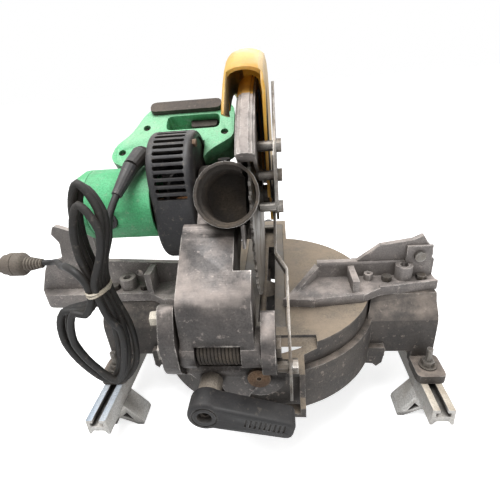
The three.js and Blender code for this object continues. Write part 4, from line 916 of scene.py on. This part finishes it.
def dressNode(name):
    finish, slot, width = dressed[name]
    body = frame["nodes"][name]["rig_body"]
    o = copyOf(name, name + "_finished")
    for radius in roundFaces.get(name, ()):
        trueRound(o, radius * mm, mitreAxis)
    rounded(o, width * mm)
    return finished(o, body, material[finish], [name], shadeAngle.get(name, usualAngle))


for name in dressed:
    dressNode(name)
print("castings dressed")


# ---- faces that carry another finish
def repaint(o, finish, chosen):
    o.data.materials.append(material[finish])
    last = len(o.data.materials) - 1
    for polygon in o.data.polygons:
        if chosen(polygon.center, polygon.normal):
            polygon.material_index = last


port = {"x": -21, "y": -133, "z": 44, "tilt": 24, "inner": 28.6}
portAt = fromSpindle(port["x"], port["y"], port["z"])
portAxis = Vector((0, math.cos(math.radians(port["tilt"])), -math.sin(math.radians(port["tilt"]))))
square = 0.9
railTopFrom = 61


def outFromPort(centre):
    out = centre - portAt
    return out - portAxis * out.dot(portAxis)


def insidePort(centre, normal):
    out = outFromPort(centre)
    return out.length < port["inner"] * mm and (normal.dot(out) < 0 or normal.dot(portAxis) < -square)


def onPortRim(centre, normal):
    return outFromPort(centre).length >= port["inner"] * mm and normal.dot(portAxis) < -square


def onRailTop(centre, normal):
    return normal.z > square and centre.z > railTopFrom * mm


pieces = {o.name: o for o in bpy.context.scene.objects}
repaint(pieces["turntable_finished"], "castDark", lambda centre, normal: normal.z < 0.5)
# the port's bore is painted near black: painted shade in the hollow, with some dirt
repaint(pieces["dust_port_finished"], "sootAndShade", insidePort)
repaint(pieces["dust_port_finished"], "aluminium", onPortRim)
# the left rail's top is painted bluish grey: a painted reflection
repaint(pieces["rail_left_finished"], "railReflection", onRailTop)
repaint(pieces["rail_right_finished"], "railTop", onRailTop)
repaint(pieces["lower_guard_finished"], "guardTan", lambda centre, normal: normal.x > 0.35)


# the hood's back is painted dark amber where it stands inside the guard: painted shade, tinted by the light
# that comes through the amber guard
guardRoom = {"inner": 128, "from": 60, "right": 6}


def insideGuard(centre, normal):
    up, back = centre.z - spindle.z, spindle.y - centre.y
    past = math.atan2(up, back) > math.radians(guardRoom["from"])
    left = centre.x < mitreAxis.x + guardRoom["right"] * mm
    return math.hypot(up, back) > guardRoom["inner"] * mm and past and left


repaint(pieces["blade_case_finished"], "amberShade", insideGuard)


# ---- bevel clamp lever: hub, paddle and ribs
leverShape = {
    "x": -50, "z": 150, "front": -216, "back": -192.5, "hub": 17, "reach": 75.2, "end": 86,
    "half": 11, "drop": 13.86, "corner": 3.4, "toe": 7, "heel": 5, "well": 7.2, "wellDeep": 9,
    "ring": (11, 12.6), "ringDeep": 0.9, "ribs": 9, "firstRib": 38, "pitch": 4.6, "ribWide": 1.9,
    "ribDeep": 1.3, "ribFrom": -3.2, "ribTo": 7.6, "bore": 6.2, "boreSpan": (-205, -190),
    "screw": 6.0, "screwSpan": (4.5, 8.6), "socket": 3.0, "socketSpan": (3, 7),
    "hubArc": (62, 300, 14), "neck": (10, -14), "below": 6, "above": 8, "swell": 0.5,
    "edge": 0.45, "screwEdge": 0.4,
}


def arcPoints(u, v, radius, first, last, step):
    angles = [math.radians(a) for a in range(first, last, step)]
    return [(u + radius * math.cos(a), v + radius * math.sin(a)) for a in angles]


def makeLever():
    f = leverShape
    body = frame["nodes"]["bevel_clamp_lever"]["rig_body"]
    end, half, toe, heel, swell = f["end"], f["half"], f["toe"], f["heel"], f["swell"]
    outline = arcPoints(0, 0, f["hub"], *f["hubArc"])
    outline += [f["neck"], (f["reach"] - f["below"], -half - swell)]
    outline += arcPoints(end - toe, toe - half, toe, -90, 1, 30)
    outline += arcPoints(end - heel, half - heel, heel, 0, 91, 45)
    outline += [(f["reach"] - f["above"], half + swell)]
    front = f["front"] * mm
    lever = plate("lever", "y", [(u * mm, v * mm) for u, v in outline], (front, f["back"] * mm))
    rounded(lever, f["corner"] * mm, segments=4, angle=40)
    inner, outer = f["ring"]
    ring = [(inner, -1), (outer, -1), (outer, f["ringDeep"]), (inner, f["ringDeep"])]
    cuts = [
        bar("well", "y", f["well"] * mm, (front - mm, front + f["wellDeep"] * mm), (0, 0)),
        spun("ring", "y", [(p * mm, front + q * mm) for p, q in ring], (0, 0, 0)),
    ]
    deep = (front - mm, front + f["ribDeep"] * mm)
    high = (f["ribFrom"] * mm, f["ribTo"] * mm)
    for i in range(f["ribs"]):
        u = (f["firstRib"] + i * f["pitch"]) * mm
        cuts.append(block("rib", (u, u + f["ribWide"] * mm), deep, high))
    cuts.append(bar("bore", "y", f["bore"] * mm, [y * mm for y in f["boreSpan"]], (0, 0)))
    cutAway(lever, *cuts)
    rounded(lever, f["edge"] * mm, angle=50)
    screw = bar("lever_screw", "y", f["screw"] * mm, [front + y * mm for y in f["screwSpan"]], (0, 0), 32)
    socket = bar("socket", "y", f["socket"] * mm, [front + y * mm for y in f["socketSpan"]], (0, 0), 6)
    cutAway(screw, socket)
    rounded(screw, f["screwEdge"] * mm)
    turn = Matrix.Rotation(math.radians(f["drop"]), 4, "Y")
    for o in (lever, screw):
        o.data.transform(Matrix.Translation(fromSaw(f["x"], 0, f["z"])) @ turn)
    finished(lever, body, material["leverBlack"], ["bevel_clamp_lever"])
    finished(screw, body, material["darkSteel"])


# ---- torsion spring: close coils round the hinge pin
springShape = {"from": -58.4, "to": -15.6, "turns": 12, "steps": 28, "radius": 15.4, "wire": 1.65}


def makeSpring():
    f = springShape
    body = frame["nodes"]["torsion_spring"]["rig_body"]
    radius = f["radius"] * mm
    count = f["turns"] * f["steps"]
    points = []
    for i in range(count + 1):
        a = i / f["steps"] * 2 * math.pi
        x = mitreAxis.x + (f["from"] + (f["to"] - f["from"]) * i / count) * mm
        points.append((x, hinge.y + radius * math.cos(a), hinge.z + radius * math.sin(a)))
    wound("spring_coils", points, f["wire"] * mm, "sootAndShade", body, ["torsion_spring"])


# ---- fan shroud: rounded housing, slotted over its upper rear quarter
shroudShape = {
    "left": -118, "right": -64, "half": 48, "rise": 30, "y": -25, "z": 11, "wall": 5, "edge": 6.5,
    "rim": 8, "recess": 2.5, "slots": 11, "lower": 2, "pitch": 8.4, "slot": 4.8, "slotEnd": 1.9,
    "slotDeep": 14, "slotLeft": 9, "slotRight": 10, "motor": (-8, -3, 36), "shaft": 9,
    "over": 3, "lip": 0.5,
}


def stadium(half, rise, steps=18):
    arcs = [(k, math.pi * (k + i / steps)) for k in (0, 1) for i in range(steps + 1)]
    return [(half * math.cos(a) * mm, ((-rise if k else rise) + half * math.sin(a)) * mm) for k, a in arcs]


def makeShroud():
    f = shroudShape
    left, right, half, rise, wall = (f[k] * mm for k in ("left", "right", "half", "rise", "wall"))
    body = plate("shroud", "x", stadium(f["half"], f["rise"]), (left, right))
    rounded(body, f["edge"] * mm, segments=5, angle=40)
    recess = (right - f["recess"] * mm, right + f["over"] * mm)
    my, mz, mr = (v * mm for v in f["motor"])
    cuts = [
        plate("hollow", "x", stadium(f["half"] - f["wall"], f["rise"]), (left + wall, right - wall)),
        plate("recess", "x", stadium(f["half"] - f["rim"], f["rise"]), recess),
        bar("motor", "x", mr, (left - mm, left + wall + mm), (my, mz)),
        bar("shaft", "x", f["shaft"] * mm, (right - wall - mm, right + mm), (my, mz), 24),
    ]
    turnEach = f["pitch"] / f["half"]
    along = (left + f["slotLeft"] * mm, right - f["slotRight"] * mm)
    deep = (half - f["slotDeep"] * mm, half + f["over"] * mm)
    high = f["slot"] / 2 * mm
    for i in range(f["slots"] + f["lower"]):
        slot = block("slot", along, deep, (-high, high))
        rounded(slot, f["slotEnd"] * mm, segments=3, angle=60)
        past = max(0, i - f["slots"] + 1)
        turn = Matrix.Rotation(math.pi - turnEach * max(0, f["slots"] - 1 - i), 4, "X")
        slot.data.transform(Matrix.Translation((0, 0, rise - past * f["pitch"] * mm)) @ turn)
        cuts.append(slot)
    cutAway(body, *cuts)
    rounded(body, f["lip"] * mm, angle=50)
    body.data.transform(Matrix.Translation(fromSpindle(0, f["y"], f["z"])))
    finished(body, "head", material["black"], ["fan_shroud"])


# ---- screws in the handle's wells and bolts on the fan shroud
handleShape = {"y": -18, "z": 48, "tilt": 36.9}
screwShape = {
    "radius": 4.3, "span": (-7.9, -4.6), "long": 3, "wide": 0.5, "slotSpan": (-5.8, -4), "edge": 0.35,
}
handleScrews = [(-170, 26), (-143, 66), (-39, 51)]
boltShape = {"sunk": 1.5, "proud": 2.6, "edge": 0.5}
# each bolt's y and z from the spindle, and its radius
shroudBolts = [(-61, 22, 5.2), (-47, 78, 4.6)]


def makeScrews():
    f = screwShape
    turn = Matrix.Rotation(math.radians(handleShape["tilt"]), 4, "X")
    place = Matrix.Translation(fromSpindle(0, handleShape["y"], handleShape["z"])) @ turn
    screws = []
    for x, y in handleScrews:
        head = bar("screw", "z", f["radius"] * mm, [z * mm for z in f["span"]], (x * mm, y * mm), 24)
        slots = []
        for u, v in ((f["long"], f["wide"]), (f["wide"], f["long"])):
            xs, ys = ((x - u) * mm, (x + u) * mm), ((y - v) * mm, (y + v) * mm)
            slots.append(block("slot", xs, ys, [z * mm for z in f["slotSpan"]]))
        cutAway(head, *slots)
        screws.append(rounded(head, f["edge"] * mm))
    o = joined("handle_screws", *screws)
    o.data.transform(place)
    finished(o, "head", material["darkSteel"])
    bolts = []
    for y, z, radius in shroudBolts:
        at = fromSpindle(shroudShape["right"], y, z)
        span = (at.x - boltShape["sunk"] * mm, at.x + boltShape["proud"] * mm)
        head = bar("bolt", "x", radius * mm, span, (at.y, at.z), 6)
        bolts.append(rounded(head, boltShape["edge"] * mm))
    finished(joined("shroud_bolts", *bolts), "head", material["rust"])


makeLever()
makeSpring()
makeShroud()
makeScrews()
print("small pieces made")


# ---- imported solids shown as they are, by finish
plain = {
    "steel": [
        "rail_stud_1", "rail_stud_2", "rail_stud_3", "rail_stud_4", "table_pivot_bolt", "extension_rods",
        "fence_bolts_left", "fence_bolts_right", "sub_fence_screw", "detent_lever", "hinge_pin",
        "link_pivot_bolt", "arbor_bearings", "blade", "blade_flange", "arbor_shaft", "arbor_bolt",
        "drive_gear",
    ],
    "rust": ["bevel_pivot_bolt"],
    "spacer": ["clamp_stud"],
    "black": [
        "mitre_lock_knob", "brush_cap_rear", "brush_cap_front", "strain_relief", "spindle_lock_button",
        "cooling_fan",
    ],
    "rubber": ["grip_rubber", "trigger"],
    "cream": ["depth_stop_bolt"],
    "copper": ["armature"],
}
for finish, names in plain.items():
    for name in names:
        frame["nodes"][name].data.materials.clear()
        frame["nodes"][name].data.materials.append(material[finish])
        smoothed(frame["nodes"][name])
print("plain pieces painted")


# ---- studio
studio = {
    "floor": (0.82, 0.82, 0.82), "rough": 0.9, "wide": 30, "under": 0.0005, "glow": 0.66,
    "world": 0.42, "aim": (0, 0, 0.2),
}
lamps = {
    "key": {"place": (-0.25, -0.35, 1.7), "size": 1.1, "power": 33},
    "fill": {"place": (0.9, -0.9, 0.8), "size": 1.0, "power": 4},
    "rim": {"place": (0.2, 1.2, 1.1), "size": 1.0, "power": 9},
}


def makeFloor():
    deselectAll()
    ground = (mitreAxis.x, mitreAxis.y, -studio["under"])
    bpy.ops.mesh.primitive_plane_add(size=studio["wide"], location=ground)
    floor = bpy.context.active_object
    floor.name = "floor"
    paint = bpy.data.materials.new("floor")
    paint.use_nodes = True
    shader = paint.node_tree.nodes["Principled BSDF"]
    shader.inputs["Base Color"].default_value = (*studio["floor"], 1)
    shader.inputs["Roughness"].default_value = studio["rough"]
    shader.inputs["Emission Color"].default_value = (1, 1, 1, 1)
    sight = node(paint.node_tree, "ShaderNodeLightPath")
    glow = calculated(paint.node_tree, "MULTIPLY", sight.outputs["Is Camera Ray"], studio["glow"])
    paint.node_tree.links.new(glow, shader.inputs["Emission Strength"])
    floor.data.materials.append(paint)


# what the camera, gloss and clear plastic see is white, and the light from all round is dimmer
def makeWorld():
    world = bpy.data.worlds.new("studio")
    bpy.context.scene.world = world
    world.use_nodes = True
    tree = world.node_tree
    sky = tree.nodes["Background"]
    path = node(tree, "ShaderNodeLightPath")
    seen = calculated(tree, "ADD", path.outputs["Is Camera Ray"], path.outputs["Is Glossy Ray"])
    seen = calculated(tree, "ADD", seen, path.outputs["Is Transmission Ray"])
    strength = node(tree, "ShaderNodeMapRange")
    tree.links.new(seen, strength.inputs["Value"])
    strength.inputs["To Min"].default_value = studio["world"]
    strength.inputs["To Max"].default_value = 1.0
    tree.links.new(strength.outputs["Result"], sky.inputs["Strength"])
    sky.inputs["Color"].default_value = (1, 1, 1, 1)


def makeLamps():
    for name, f in lamps.items():
        data = bpy.data.lights.new(name, "AREA")
        data.size = f["size"]
        data.energy = f["power"]
        lamp = bpy.data.objects.new(name, data)
        bpy.context.scene.collection.objects.link(lamp)
        lamp.location = f["place"]
        toward = Vector(studio["aim"]) - Vector(f["place"])
        lamp.rotation_euler = toward.to_track_quat("-Z", "Y").to_euler()


makeFloor()
makeWorld()
makeLamps()
print("studio lit")
bpy.context.scene.view_settings.view_transform = "Standard"
